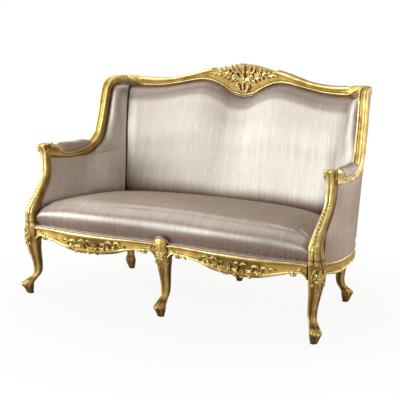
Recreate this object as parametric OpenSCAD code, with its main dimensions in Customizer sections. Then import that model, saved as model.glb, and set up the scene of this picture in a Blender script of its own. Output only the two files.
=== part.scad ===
/* [Overall size] */
// Distance between the feet of the two outer front legs
front_leg_span = 1390; // [1300:10:1480]
// Distance between the feet of the two outer rear legs
rear_leg_span = 1140; // [1080:10:1200]
// Distance from the line of front feet to the outer rear feet
leg_depth = 640; // [600:5:680]
// Height of the top of the seat rails above the floor
seat_rail_h = 310; // [290:2:330]
// Height of the hand-holds at the front of the arms
arm_h = 668; // [650:2:690]
// Height of the top rail at the shoulders
shoulder_h = 960; // [940:2:980]
// Height of the crest above the shoulders
crest_over = 71; // [55:1:90]
// How far the middle of the back stands behind its corners
back_bow = 56; // [40:2:70]
// How far the back leans to the rear between the seat rails and the shoulders
back_lean = 78; // [60:2:95]

/* [Frame timber] */
// Thickness of the seat rails
rail_t = 40; // [34:1:44]
// Depth of the straight part of the seat rails
rail_depth = 36; // [32:1:40]
// Extra drop of the carved aprons below the straight part
apron_drop = 44; // [30:1:50]
// How far the front aprons swell forward
apron_bow = 18; // [10:1:24]
// How far the side rails swell outward
side_bulge = 29; // [20:1:36]
// Half of the width of a leg block
block_half = 30; // [27:1:33]
// Half of the thickness of a leg at its ankle
ankle_half = 17; // [14:1:19]
// How far the toes reach outside the foot's centre
toe_reach = 42; // [36:1:48]
// Radius of the peg under each foot
peg_r = 14; // [12:1:16]
// Width of the moulded rail round the back and the arms
mould_w = 40; // [36:1:44]
// Thickness of that rail
mould_t = 36; // [32:1:40]
// Half of the thickness of an arm post
post_half = 18.5; // [15:0.5:20]
// Half of the width of the hand-holds
hand_half = 24; // [20:1:27]
// Radius of the top rail's turn at each shoulder
shoulder_r = 35; // [30:1:45]

/* [Joints and fixings] */
// Radius of the dowels
dowel_r = 5; // [4:0.5:6]
// Length of a dowel
dowel_l = 40; // [36:2:44]
// Clearance round a dowel or a screw
bore_clear = 0.1; // [0.05:0.05:0.2]
// Radius of a screw's shank
screw_r = 2.5; // [2:0.25:3]
// Radius of a screw's head
screw_head_r = 5; // [4:0.5:6]
// Height of a screw's head
screw_head_h = 4; // [3:0.5:5]
// How deep a screw bites into a rail
screw_bite = 20; // [16:1:22]
// Length of a corner block along its rail
corner_block_l = 66; // [62:2:72]
// Thickness of a corner block
corner_block_t = 30; // [26:1:34]
// Thickness of the glides under the feet
glide_t = 4; // [3:0.5:5]

/* [Upholstery] */
// Height of the seat where it meets the back
seat_top = 430; // [415:1:445]
// Height of the seat's crown above that
seat_crown = 16; // [8:1:24]
// Height of the seat's sides where they meet the sides
seat_side = 404; // [396:1:412]
// Thickness of the cloth and board on the outside
panel_t = 4; // [3:0.5:6]
// Thickness of the webbing
web_t = 2; // [1.5:0.5:3]
// Width of the webbing
web_w = 50; // [40:2:60]
// Thickness of the hessian over the webbing
hessian_t = 1.5; // [1:0.25:2]
// Height of the leaf that rises over the middle knee
leaf_rise = 27; // [20:1:30]
// How far the middle of the inside back is hollowed
back_hollow = 62; // [50:1:68]
// Fullness of the rolls beside the back
roll_full = 26; // [16:1:34]
// Thickness of the stiles and tacking rail inside the back
stile_t = 20; // [16:1:22]
// Width of the stiles
stile_w = 36; // [32:1:38]
// Height of the arm pads above the arms
arm_pad_h = 50; // [40:1:54]
// Half of the width of the arm pads
arm_pad_half = 27; // [22:1:30]
// Radius of the piping along the front of the seat
piping_r = 3; // [2:0.25:4]
// Gap between upholstery and its neighbours
soft_gap = 0.3; // [0.2:0.05:0.5]

/* [Hidden] */

// Names of the two sides, as factors of X
left = -1;
right = 1;

// Half sizes and levels that several pieces share
front_x = front_leg_span / 2;
rear_x = rear_leg_span / 2;
leg_bow = back_bow * 1.25;
middle_y = (leg_depth + leg_bow) / 2;
rail_low = seat_rail_h - rail_depth;
apron_low = rail_low - apron_drop;
rail_face_y = -block_half / 3;
rail_back_y = rail_face_y + rail_t;
post_x = front_x - block_half / 6;
post_y = rail_face_y + block_half;
crest_end_x = rear_x + shoulder_r * 0.8;
crest_end_y = leg_depth + block_half;
corner_low_y = crest_end_y - back_lean;
arc_steps = 6;
// One overrun for all cuts and running-in clearances
over = dowel_r / 5;

// Smooth curve through a table of [place, value] rows
function row_at(x, table, i = 0) =
    i >= len(table) - 2 || x < table[i + 1][0] ? i : row_at(x, table, i + 1);
function slope_at(table, i) =
    let (a = max(i - 1, 0), b = min(i + 1, len(table) - 1))
    (table[b][1] - table[a][1]) / (table[b][0] - table[a][0]);
function curve(x, table) =
    let (i = row_at(x, table), h = table[i + 1][0] - table[i][0], t = (x - table[i][0]) / h)
    (2 * t ^ 3 - 3 * t ^ 2 + 1) * table[i][1]
    + (t ^ 3 - 2 * t ^ 2 + t) * h * slope_at(table, i)
    + (3 * t ^ 2 - 2 * t ^ 3) * table[i + 1][1]
    + (t ^ 3 - t ^ 2) * h * slope_at(table, i + 1);
function unit(v) = v / norm(v);
function mix(a, b, t) = a + (b - a) * t;
function reverse(list) = [for (i = [len(list) - 1 : -1 : 0]) list[i]];

// One closed solid through rings of points that all run the same way round
module skin(rings) {
    n = len(rings[0]);
    m = len(rings);
    sides = [for (i = [0 : m - 2], j = [0 : n - 1])
        let (a = i * n + j, b = i * n + (j + 1) % n)
        each [[a, b + n, b], [a, a + n, b + n]]];
    first = [for (j = [0 : n - 1]) j];
    last = [for (j = [n - 1 : -1 : 0]) (m - 1) * n + j];
    polyhedron([for (r = rings) each r], concat(sides, [first, last]), convexity = 8);
}

// Everything is laid out from the line of front feet and centred here
module place() {
    translate([0, -middle_y, 0]) children();
}
module on_side(side) {
    place() if (side == right) children(); else mirror([1, 0, 0]) children();
}

// Dowels: middle and direction of each, on the right-hand side
along_x = [0, 90, 0];
along_y = [90, 0, 0];
along_z = [0, 0, 0];
dowel_z = seat_rail_h - rail_depth / 2;
module pins(spots, r, l) {
    for (d = spots) translate(d[0]) rotate(d[1]) cylinder(r = r, h = l, center = true, $fn = 20);
}
module bores(spots) {
    pins(spots, dowel_r + bore_clear, dowel_l + over * 2);
}

// Square ring with eased corners, level at height z
function square_ring(c, hx, hy, ease) =
    let (e = ease * min(hx, hy), k = e * 0.3)
    [for (q = [[1, 1], [-1, 1], [-1, -1], [1, -1]])
        let (turn = q[0] * q[1] > 0,
            p = [[hx, hy - e], [hx - k, hy - k], [hx - e, hy]])
        each [for (s = turn ? [0, 1, 2] : [2, 1, 0]) [c[0] + q[0] * p[s][0], c[1] + q[1] * p[s][1], c[2]]]];

// Legs: [share of the leg's height, [outward share of toe_reach, half size over ankle_half, ease]]
leg_shares = [
    [0.00, [0.00, 0.80, 0.70]], [0.05, [0.00, 0.86, 0.70]], [0.09, [0.10, 1.05, 0.70]],
    [0.145, [0.30, 1.55, 0.70]], [0.18, [0.22, 1.45, 0.70]], [0.215, [-0.18, 1.12, 0.70]],
    [0.26, [-0.50, 1.00, 0.60]], [0.32, [-0.64, 1.02, 0.55]], [0.43, [-0.56, 1.12, 0.55]],
    [0.54, [-0.36, 1.26, 0.55]], [0.66, [-0.14, 1.50, 0.50]], [0.75, [-0.02, 1.76, 0.35]]];
function leg_ring(s, foot, top, dir) =
    let (v = curve(s, leg_shares), z = mix(glide_t, seat_rail_h, s),
        c = mix(foot, top, min(s / leg_shares[11][0], 1)) + dir * v[0] * toe_reach)
    square_ring([c[0], c[1], z], v[1] * ankle_half, v[1] * ankle_half, v[2]);
module leg(foot, top, dir) {
    low = [for (r = leg_shares) leg_ring(r[0], foot, top, dir)];
    block = [for (z = [apron_low + ankle_half, seat_rail_h])
        square_ring([top[0], top[1], z], block_half, block_half, 0.3)];
    skin(concat(low, block));
}
front_foot = [front_x, 0];
front_top = [post_x, post_y];
front_dir = unit([1, -1]);
rear_foot = [rear_x, leg_depth];
rear_top = [rear_x, corner_low_y];
rear_dir = unit([1, 1]);
front_mid_foot = [0, 0];
front_mid_top = [0, post_y];
rear_mid_foot = [0, leg_depth + leg_bow];
rear_mid_top = [0, corner_low_y + back_bow];

module front_leg(side) {
    color("goldenrod") on_side(side) difference() {
        leg(front_foot, front_top, front_dir);
        bores([front_corner_dowel, side_front_dowel, post_foot_dowel]);
    }
}
module rear_leg(side) {
    color("goldenrod") on_side(side) difference() {
        leg(rear_foot, rear_top, rear_dir);
        bores([side_rear_dowel, back_corner_dowel, stile_foot_dowel]);
    }
}
module leg_front_left() { front_leg(left); }
module leg_front_right() { front_leg(right); }
module leg_rear_left() { rear_leg(left); }
module leg_rear_right() { rear_leg(right); }
module leg_front_middle() {
    color("goldenrod") place() difference() {
        leg(front_mid_foot, front_mid_top, [0, -1]);
        bores([stretcher_front_dowel, front_middle_dowel]);
        mirror([1, 0, 0]) bores([front_middle_dowel]);
    }
}
module leg_rear_middle() {
    color("goldenrod") place() difference() {
        leg(rear_mid_foot, rear_mid_top, [0, 1]);
        bores([stretcher_rear_dowel, back_middle_dowel]);
        mirror([1, 0, 0]) bores([back_middle_dowel]);
    }
}
module foot_glides() {
    color("dimgray") place() {
        for (p = [front_foot, rear_foot], s = [left, right])
            translate([s * p[0], p[1], 0]) cylinder(r = peg_r, h = glide_t, $fn = 32);
        for (p = [front_mid_foot, rear_mid_foot])
            translate([p[0], p[1], 0]) cylinder(r = peg_r, h = glide_t, $fn = 32);
    }
}

// Front rails: [share of the bay, [drop of the apron, forward bow, lift of the top edge]]
apron_shares = [
    [0.00, [0.02, 0.00, 0.00]], [0.10, [0.16, 0.10, 0.00]], [0.22, [0.62, 0.45, 0.00]],
    [0.34, [0.98, 0.95, 0.00]], [0.50, [1.00, 1.00, 0.00]], [0.64, [0.84, 0.85, 0.00]],
    [0.78, [0.28, 0.40, 0.00]], [0.90, [0.04, 0.08, 0.00]], [1.00, [0.00, 0.00, 0.00]]];
// Section of a seat rail: [share of the thickness from the rear, share of the height]
rail_section_shares = [
    [0, 0], [0, 1], [0.86, 1], [0.97, 0.96], [1, 0.88], [0.9, 0.78], [0.85, 0.6],
    [0.88, 0.36], [0.98, 0.24], [1, 0.1], [0.88, 0]];
rail_steps = 18;
front_rail_l = post_x - block_half * 2;
module front_rail(side) {
    color("goldenrod") on_side(side) difference() {
        skin([for (i = [0 : rail_steps])
            let (s = i / rail_steps, v = curve(1 - s, apron_shares),
                x = block_half + s * front_rail_l, t = rail_t + v[1] * apron_bow,
                low = rail_low - v[0] * apron_drop, h = seat_rail_h - low)
            [for (q = rail_section_shares) [x, rail_back_y - q[0] * t, low + q[1] * h]]]);
        bores([front_corner_dowel, front_middle_dowel]);
        for (x = screw_spots)
            translate([x, rail_back_y - screw_bite - over, dowel_z]) rotate(-along_y)
                cylinder(r = screw_r + bore_clear, h = screw_bite + over * 2, $fn = 16);
    }
}
module front_rail_left() { front_rail(left); }
module front_rail_right() { front_rail(right); }

// Side rails: [share of the way, [share of the step in, share of the bulge, share of the depth]]
side_path_shares = [
    [0.00, [0.00, 0.00, 0.000]], [0.12, [0.00, 0.76, 0.109]], [0.27, [0.00, 1.00, 0.257]],
    [0.45, [0.02, 0.62, 0.460]], [0.62, [0.20, 0.10, 0.664]], [0.77, [0.56, 0.00, 0.830]],
    [0.88, [0.79, 0.00, 0.928]], [1.00, [1.00, 0.00, 1.000]]];
side_rail_drop_shares = [[0, 0.2], [0.2, 0.35], [0.4, 0.15], [0.7, 0.3], [1, 0]];
side_start_y = post_y + block_half;
side_end_y = corner_low_y;
side_end_x = rear_x + block_half;
function side_point(s) =
    let (v = curve(s, side_path_shares))
    [mix(post_x, side_end_x, v[0]) + v[1] * side_bulge, mix(side_start_y, side_end_y, v[2])];
function side_dir(s) =
    s <= 0 ? [0, 1] : s >= 1 ? [-1, 0] : unit(side_point(s + 0.01) - side_point(s - 0.01));
side_steps = 18;
module side_rail(side) {
    color("goldenrod") on_side(side) difference() {
        skin([for (i = [0 : side_steps])
            let (s = i / side_steps, p = side_point(s), d = side_dir(s), n = [d[1], -d[0]],
                low = rail_low - curve(s, side_rail_drop_shares) * apron_drop,
                h = seat_rail_h - low)
            [for (q = rail_section_shares)
                let (g = p + n * (q[0] - 0.5) * rail_t, least = side_end_x + (s < 1 ? soft_gap : 0))
                [max(g[0], least), g[1], low + q[1] * h]]]);
        bores([side_front_dowel, side_rear_dowel]);
    }
}
module side_rail_left() { side_rail(left); }
module side_rail_right() { side_rail(right); }

// Back rails, bowed like the back
back_steps = 8;
function bow_at(x, reach) = back_bow * (1 - (x / reach) ^ 2);
module back_rail(side) {
    x0 = rear_x - block_half;
    x1 = block_half;
    color("goldenrod") on_side(side) difference() {
        skin([for (i = [0 : back_steps])
            let (x = mix(x0, x1, i / back_steps), y = corner_low_y + bow_at(x, crest_end_x))
            [for (q = rail_section_shares)
                [x, y + (q[0] - 0.5) * rail_t, rail_low + q[1] * rail_depth]]]);
        bores([back_corner_dowel, back_middle_dowel]);
    }
}
module back_rail_left() { back_rail(left); }
module back_rail_right() { back_rail(right); }

// Arm posts: [share of the height, [side share, depth share, half size over post_half]]
post_top = arm_h - hand_half * 2.5;
post_shares = [
    [0.00, [0.00, 0.00, 1.72]], [0.12, [-0.04, -0.32, 1.52]], [0.24, [-0.10, -0.40, 1.40]],
    [0.35, [-0.10, 0.20, 1.24]], [0.51, [-0.04, 1.56, 1.08]], [0.68, [0.08, 2.86, 1.00]],
    [0.82, [0.16, 3.32, 1.00]], [1.00, [0.24, 3.40, 1.06]]];
post_steps = 14;
function post_c(s) =
    let (v = curve(s, post_shares))
    [post_x + v[0] * block_half, post_y + v[1] * block_half, mix(seat_rail_h, post_top, s)];
module arm_post(side) {
    color("goldenrod") on_side(side) difference() {
        skin([for (i = [0 : post_steps])
            let (s = i / post_steps, h = curve(s, post_shares)[2] * post_half)
            square_ring(post_c(s), h, h, 0.45)]);
        bores([post_foot_dowel, post_head_dowel]);
    }
}
module arm_post_left() { arm_post(left); }
module arm_post_right() { arm_post(right); }

// Arms: [share of the depth, [underside share, top share, half width share, side share]]
arm_y0 = post_c(1)[1] - hand_half * 1.75;
arm_y1 = leg_depth * 0.575;
arm_shares = [
    [0.00, [0.70, 0.94, 0.84, 0.16]], [0.03, [0.42, 1.00, 0.98, 0.16]],
    [0.075, [0.00, 1.01, 1.00, 0.14]], [0.22, [0.00, 0.98, 0.98, 0.08]],
    [0.30, [-0.08, 0.90, 0.92, 0.02]], [0.38, [-0.12, 0.78, 0.86, -0.06]],
    [0.45, [-0.15, 0.48, 0.84, -0.14]], [0.52, [-0.17, 0.26, 0.84, -0.20]],
    [0.64, [-0.20, 0.18, 0.84, -0.32]], [0.80, [-0.20, 0.18, 0.82, -0.46]],
    [1.00, [-0.22, 0.38, 0.83, -0.60]]];
arm_section_shares = [
    [-1, 0.12], [-0.86, 0], [0.86, 0], [1, 0.12], [0.94, 0.5], [1, 0.84], [0.8, 1],
    [0.4, 0.96], [0, 0.99], [-0.4, 0.96], [-0.8, 1], [-1, 0.84], [-0.94, 0.5]];
hand_h = arm_h - post_top;
function arm_ring(s) =
    let (v = curve(s, arm_shares), x = post_c(1)[0] + v[3] * block_half,
        low = s <= arm_shares[3][0] ? max(v[0], 0) : v[0])
    [for (q = arm_section_shares)
        [x + q[0] * v[2] * hand_half, mix(arm_y0, arm_y1, s),
            post_top + mix(low, v[1], q[1]) * hand_h]];
arm_stations = [0, 0.012, 0.03, 0.05, 0.075, 0.13, 0.22, 0.26, 0.3, 0.34, 0.38, 0.415, 0.45, 0.485, 0.52,
    0.58, 0.64, 0.72, 0.8, 0.9, 1];
module arm_rail(side) {
    color("goldenrod") on_side(side) difference() {
        skin(reverse([for (s = arm_stations) arm_ring(s)]));
        bores([post_head_dowel, arm_wing_dowel]);
    }
}
module arm_rail_left() { arm_rail(left); }
module arm_rail_right() { arm_rail(right); }

// Wings: [share of the way, [depth share, height share from the arm to the shoulder, side share]]
wing_shares = [
    [0.00, [0.0000, 0.000, 1.00]], [0.09, [0.176, 0.035, 0.92]], [0.18, [0.330, 0.105, 0.82]],
    [0.28, [0.435, 0.208, 0.72]], [0.40, [0.499, 0.366, 0.65]], [0.54, [0.564, 0.573, 0.60]],
    [0.68, [0.612, 0.771, 0.54]], [0.78, [0.655, 0.899, 0.45]], [0.87, [0.745, 0.976, 0.28]],
    [1.00, [1.0, 1.0, 0.0]]];
wing_y1 = crest_end_y - shoulder_r;
wing_x1 = crest_end_x + shoulder_r;
wing_z0 = post_top + hand_h * 0.08;
wing_z1 = shoulder_h - mould_t * 0.55;
wing_x0 = post_c(1)[0] - 0.6 * block_half;
function wing_point(s) =
    let (v = curve(s, wing_shares))
    [mix(wing_x1, wing_x0, v[2]), mix(arm_y1, wing_y1, v[0]), mix(wing_z0, wing_z1, v[1])];
function wing_dir(s) =
    s <= 0 || s >= 1 ? [1, 0] :
    let (d = wing_point(s + 0.01) - wing_point(s - 0.01)) unit([d[1], d[2]]);
// Section of the moulding: [across the face, outward]
mould_shares = [
    [-0.5, -0.5], [0.5, -0.5], [0.5, 0.28], [0.42, 0.46], [0.3, 0.5], [0.19, 0.42], [0.1, 0.36],
    [0, 0.42], [-0.1, 0.36], [-0.19, 0.42], [-0.3, 0.5], [-0.42, 0.46], [-0.5, 0.28]];
function mould_ring(p, across, out, w, t) =
    [for (q = mould_shares) p + across * q[0] * w + out * q[1] * t];
wing_steps = 22;
wing_thick_shares = [[0, 1.0], [0.3, 0.95], [0.6, 0.95], [0.85, 1], [1, 1.1]];
module wing_rail(side) {
    line = [for (i = [0 : wing_steps])
        let (s = i / wing_steps, d = wing_dir(s), t = mould_t * curve(s, wing_thick_shares))
        mould_ring(wing_point(s), [1, 0, 0], [0, -d[1], d[0]], mould_w, t)];
    turn = [for (i = [1 : arc_steps])
        let (a = 90 * i / arc_steps, c = [crest_end_x, wing_y1, wing_z1])
        mould_ring(c + shoulder_r * [cos(a), sin(a), 0], [cos(a), sin(a), 0], [0, 0, 1],
            mould_w, mould_t * 1.1)];
    color("goldenrod") on_side(side) difference() {
        skin(reverse(concat(line, turn)));
        bores([arm_wing_dowel, wing_crest_dowel]);
    }
}
module wing_rail_left() { wing_rail(left); }
module wing_rail_right() { wing_rail(right); }

// Crest: [share of the half width, [top share, underside share]], from the middle outwards
crest_shares = [
    [0.00, [1.00, -0.75]], [0.08, [0.98, -0.65]], [0.13, [0.92, -0.46]], [0.18, [0.86, -0.26]],
    [0.25, [0.75, -0.05]], [0.31, [0.65, 0.04]], [0.38, [0.53, 0.03]], [0.47, [0.34, -0.08]],
    [0.57, [0.15, -0.22]], [0.70, [0.03, -0.37]], [0.84, [0.03, -0.42]], [1.00, [0.15, -0.40]]];
crest_dip = shoulder_h - mould_t * 0.33;
crest_rise = shoulder_h + crest_over - crest_dip;
crest_half_steps = 14;
crest_section_shares = [
    [-0.5, 0.5], [-0.5, -0.5], [0.28, -0.5], [0.46, -0.42], [0.5, -0.3], [0.42, -0.19], [0.36, -0.1],
    [0.42, 0], [0.36, 0.1], [0.42, 0.19], [0.5, 0.3], [0.46, 0.42], [0.28, 0.5]];
function crest_ring(s) =
    let (v = curve(abs(s), crest_shares), x = s * crest_end_x,
        top = crest_dip + v[0] * crest_rise, low = crest_dip + v[1] * crest_rise,
        y = crest_end_y + bow_at(x, crest_end_x))
    [for (q = crest_section_shares)
        [x, y - q[0] * mould_w, mix(low, top, q[1] + 0.5)]];
module crest_rail() {
    color("goldenrod") place() difference() {
        skin([for (i = [crest_half_steps : -1 : -crest_half_steps]) crest_ring(i / crest_half_steps)]);
        for (m = [0, 1]) mirror([m, 0, 0]) bores([wing_crest_dowel, stile_head_dowel]);
    }
}

// Leaf over the knee of the middle front leg: [share of the height, [half width, thickness]]
leaf_shares = [
    [0, [0.3, 0.25]], [0.3, [0.62, 0.5]], [0.6, [0.85, 0.55]], [0.8, [0.8, 0.42]],
    [0.93, [0.5, 0.3]], [1, [0.2, 0.2]]];
leaf_half = block_half;
leaf_t = ankle_half * 1.2;
leaf_low = apron_low + ankle_half * 2.4;
module knee_leaf() {
    color("goldenrod") place()
        skin([for (i = [0 : 8])
            let (s = i / 8, v = curve(s, leaf_shares), z = mix(leaf_low, seat_rail_h + leaf_rise, s),
                w = v[0] * leaf_half, t = v[1] * leaf_t)
            [[w, rail_face_y, z], [-w, rail_face_y, z], [-w * 0.8, rail_face_y - t * 0.7, z],
                [0, rail_face_y - t, z], [w * 0.8, rail_face_y - t * 0.7, z]]]);
}

// Middle plane of the back's frame, and the underside of the crest
pad_low = seat_rail_h + web_t * 2 + hessian_t;
function back_y(x, z) =
    crest_end_y - back_lean * (shoulder_h - rail_depth / 2 - z) / (shoulder_h - seat_rail_h)
    + bow_at(x, crest_end_x);
function crest_low(i) = crest_dip + curve(i / crest_half_steps, crest_shares)[1] * crest_rise;
function crest_low_z(x) =
    let (k = abs(x) / crest_end_x * crest_half_steps, i = min(floor(k), crest_half_steps - 1))
    mix(crest_low(i), crest_low(i + 1), k - i);
stile_front = stile_t * 0.25;
stile_rear = stile_t * 0.75;
back_panel_y = stile_rear + soft_gap;
web_rear = stile_front + soft_gap / 2;
web_front = web_rear + web_t;
pad_rear = web_front + soft_gap;

// Stiles and the tacking rail inside the back
function stile_ring(x0, x1, z, top) =
    [for (q = [[x1, stile_rear], [x0, stile_rear], [x0, -stile_front], [x1, -stile_front]])
        let (h = top ? crest_low_z(q[0]) - soft_gap / 2 : z) [q[0], back_y(q[0], h) + q[1], h]];
module back_stile(side) {
    color("burlywood") on_side(side) difference() {
        skin([stile_ring(rear_x - stile_w / 2, rear_x + stile_w / 2, seat_rail_h, false),
            stile_ring(rear_x - stile_w / 2, rear_x + stile_w / 2, 0, true)]);
        bores([stile_foot_dowel, stile_head_dowel]);
    }
}
module back_stile_left() { back_stile(left); }
module back_stile_right() { back_stile(right); }
tack_low = seat_rail_h + stile_w;
tack_high = tack_low + stile_w * 0.8;
module back_stile_middle() {
    color("burlywood") place()
        skin([stile_ring(-stile_w / 2, stile_w / 2, tack_high, false),
            stile_ring(-stile_w / 2, stile_w / 2, crest_low_z(0) - soft_gap, false)]);
}
module back_tacking_rail() {
    reach = rear_x - stile_w / 2;
    color("burlywood") place()
        skin([for (i = [-back_steps : back_steps])
            let (x = reach * i / back_steps)
            [for (q = [[-stile_front, tack_low], [stile_rear, tack_low],
                [stile_rear, tack_high], [-stile_front, tack_high]])
                [x, back_y(x, q[1]) + q[0], q[1]]]]);
}

// Stretcher, corner blocks, screws and dowels
stretcher_y0 = front_mid_top[1] + block_half;
stretcher_y1 = rear_mid_top[1] - block_half;
cover_z = rail_low + panel_t * 0.4;
block_low = cover_z + hessian_t;
module seat_stretcher() {
    color("burlywood") place() difference() {
        translate([-ankle_half, stretcher_y0, block_low])
            cube([ankle_half * 2, stretcher_y1 - stretcher_y0, seat_rail_h - block_low]);
        bores([stretcher_front_dowel, stretcher_rear_dowel]);
    }
}
corner_x = post_x - block_half;
near_screw = corner_block_l * 0.52;
far_screw = corner_block_l * 0.88;
screw_spots = [corner_x - near_screw, corner_x - far_screw, block_half + near_screw, block_half + far_screw];
screw_l = screw_bite + corner_block_t - screw_head_h;
module corner_blocks() {
    color("burlywood") place() for (m = [0, 1]) mirror([m, 0, 0]) difference() {
        for (x = [corner_x - corner_block_l, block_half])
            translate([x, rail_back_y, block_low])
                cube([corner_block_l, corner_block_t, seat_rail_h - block_low]);
        for (x = screw_spots) translate([x, rail_back_y, dowel_z]) rotate(-along_y) {
            translate([0, 0, -over])
                cylinder(r = screw_r + bore_clear, h = corner_block_t + over * 2, $fn = 16);
            translate([0, 0, corner_block_t - screw_head_h])
                cylinder(r = screw_head_r + bore_clear, h = screw_head_h + over, $fn = 20);
        }
    }
}
module corner_screws() {
    color("silver") place() for (m = [0, 1], x = screw_spots) mirror([m, 0, 0])
        translate([x, rail_back_y - screw_bite, dowel_z]) rotate(-along_y) {
            cylinder(r = screw_r, h = screw_l, $fn = 16);
            translate([0, 0, screw_l]) cylinder(r = screw_head_r, h = screw_head_h, $fn = 20);
        }
}
front_corner_dowel = [[corner_x, rail_back_y - rail_t * 0.45, dowel_z], along_x];
front_middle_dowel = [[block_half, rail_back_y - rail_t * 0.45, dowel_z], along_x];
side_front_dowel = [[post_x, side_start_y, dowel_z], along_y];
side_rear_dowel = [[side_end_x - rail_t * 0.2, side_end_y - rail_t * 0.35, dowel_z], along_x];
back_corner_dowel = [[rear_x - block_half, back_y(rear_x - block_half, seat_rail_h), dowel_z], along_x];
back_middle_dowel = [[block_half, rear_mid_top[1], dowel_z], along_x];
post_foot_dowel = [[post_x, post_y, seat_rail_h], along_z];
post_head_dowel = [post_c(1), along_z];
arm_wing_dowel = [[wing_x0, arm_y1, wing_z0], along_y];
wing_crest_dowel = [[crest_end_x, crest_end_y, wing_z1], along_x];
stile_foot_dowel = [[rear_x, back_y(rear_x, seat_rail_h) + stile_front, seat_rail_h], along_z];
stile_head_dowel = [[rear_x, back_y(rear_x, shoulder_h - rail_depth) + stile_front,
    crest_low_z(rear_x)], along_z];
stretcher_front_dowel = [[0, stretcher_y0, dowel_z], along_y];
stretcher_rear_dowel = [[0, stretcher_y1, dowel_z], along_y];
module frame_dowels() {
    color("tan") place() {
        for (m = [0, 1]) mirror([m, 0, 0])
            pins([front_corner_dowel, front_middle_dowel, side_front_dowel, side_rear_dowel,
                back_corner_dowel, back_middle_dowel, post_foot_dowel, post_head_dowel,
                arm_wing_dowel, wing_crest_dowel, stile_foot_dowel, stile_head_dowel],
                dowel_r, dowel_l);
        pins([stretcher_front_dowel, stretcher_rear_dowel], dowel_r, dowel_l);
    }
}

// Webbing, hessian and the cover under the seat
web_rows = 4;
web_columns = 4;
web_y0 = rail_back_y - rail_t / 2;
function rear_edge_y(x) = back_y(x, seat_rail_h) - pad_rear;
module seat_webbing() {
    color("wheat") place() {
        for (i = [1 : web_rows])
            let (y = web_y0 + (corner_low_y - web_y0) * i / (web_rows + 1),
                s = (y - side_start_y) / (side_end_y - side_start_y), x = side_point(s)[0] - rail_t * 0.4)
            translate([-x, y - web_w / 2, seat_rail_h]) cube([x * 2, web_w, web_t]);
        for (i = [1 : web_columns], m = [0, 1])
            let (x = rear_x * (i - 0.5) / web_columns)
            mirror([m, 0, 0]) translate([x - web_w / 2, web_y0, seat_rail_h + web_t])
                cube([web_w, rear_edge_y(x + web_w / 2) - web_y0, web_t]);
    }
}
function side_inset(s, inset) = let (p = side_point(s), d = side_dir(s)) p - [d[1], -d[0]] * inset;
side_marks = [0.06, 0.15, 0.25, 0.35, 0.45, 0.55, 0.65, 0.75, 0.85];
back_marks = [0.9, 0.6, 0.3, 0];
module seat_hessian() {
    half = concat(
        [[0, web_y0], [corner_x - over * 2.5, web_y0], [corner_x - over * 2.5, side_start_y + piping_r]],
        [for (s = side_marks) side_inset(s, 0)],
        [for (k = back_marks) [k * rear_x, rear_edge_y(k * rear_x)]]);
    color("wheat") place() translate([0, 0, seat_rail_h + web_t * 2]) linear_extrude(hessian_t)
        polygon(concat(half, [for (p = reverse(half)) [-p[0], p[1]]]));
}
module dust_cover() {
    inset = rail_t / 2 + soft_gap;
    front = rail_back_y + soft_gap;
    half = concat(
        [[0, stretcher_y0 + soft_gap], [block_half + soft_gap, stretcher_y0 + soft_gap],
            [block_half + soft_gap, front], [corner_x - soft_gap, front],
            [corner_x - soft_gap, side_start_y + soft_gap]],
        [for (s = side_marks) side_inset(s, inset)],
        [[rear_x - block_half - soft_gap, side_end_y - block_half - soft_gap]],
        [for (k = back_marks)
            let (x = max(k * rear_x, block_half + soft_gap))
            [x, corner_low_y + bow_at(x, crest_end_x) - inset - over]],
        [[block_half + soft_gap, stretcher_y1 - soft_gap], [0, stretcher_y1 - soft_gap]]);
    color("dimgray") place() translate([0, 0, cover_z]) linear_extrude(hessian_t)
        polygon(concat(half, [for (p = reverse(half)) [-p[0], p[1]]]));
}

// One closed pad between two grids of points with the same rows and columns
module pad(front, rear) {
    m = len(front);
    n = len(front[0]);
    k = m * n;
    grid = [for (i = [0 : m - 2], j = [0 : n - 2])
        let (a = i * n + j, b = a + 1, c = a + n, d = c + 1)
        each [[a, c, b], [b, c, d], [a + k, b + k, c + k], [b + k, d + k, c + k]]];
    columns = [for (i = [0 : m - 2])
        let (a = i * n, c = a + n, b = a + n - 1, d = c + n - 1)
        each [[a, c + k, c], [a, a + k, c + k], [b, d, d + k], [b, d + k, b + k]]];
    rows = [for (j = [0 : n - 2])
        let (a = j, b = j + 1, c = (m - 1) * n + j, d = c + 1)
        each [[a, b, b + k], [a, b + k, a + k], [c, d + k, d], [c, c + k, d + k]]];
    polyhedron(concat([for (r = front) each r], [for (r = rear) each r]),
        concat(grid, columns, rows), convexity = 8);
}

// Seam between back and sides: [share of the height, [share of rear_x, share of leg_depth]]
seam_shares = [
    [0.00, [0.904, 0.773]], [0.19, [0.904, 0.773]], [0.35, [0.923, 0.806]], [0.514, [0.944, 0.839]],
    [0.65, [0.958, 0.859]], [0.82, [0.982, 0.902]], [0.91, [0.996, 0.930]], [0.96, [1.012, 0.961]],
    [0.985, [1.028, 0.992]], [1.00, [1.040, 1.016]]];
pad_top_gap = soft_gap * 3;
corner_top_z = crest_low_z(crest_end_x) - pad_top_gap;
rear_reach = crest_end_x - soft_gap * 6;
function seam(h) =
    let (v = curve(h, seam_shares)) [v[0] * rear_x, v[1] * leg_depth, mix(pad_low, corner_top_z, h)];
function seam_rear(h) =
    let (z = mix(pad_low, corner_top_z, h)) [rear_reach, back_y(rear_reach, z) - pad_rear, z];

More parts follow.
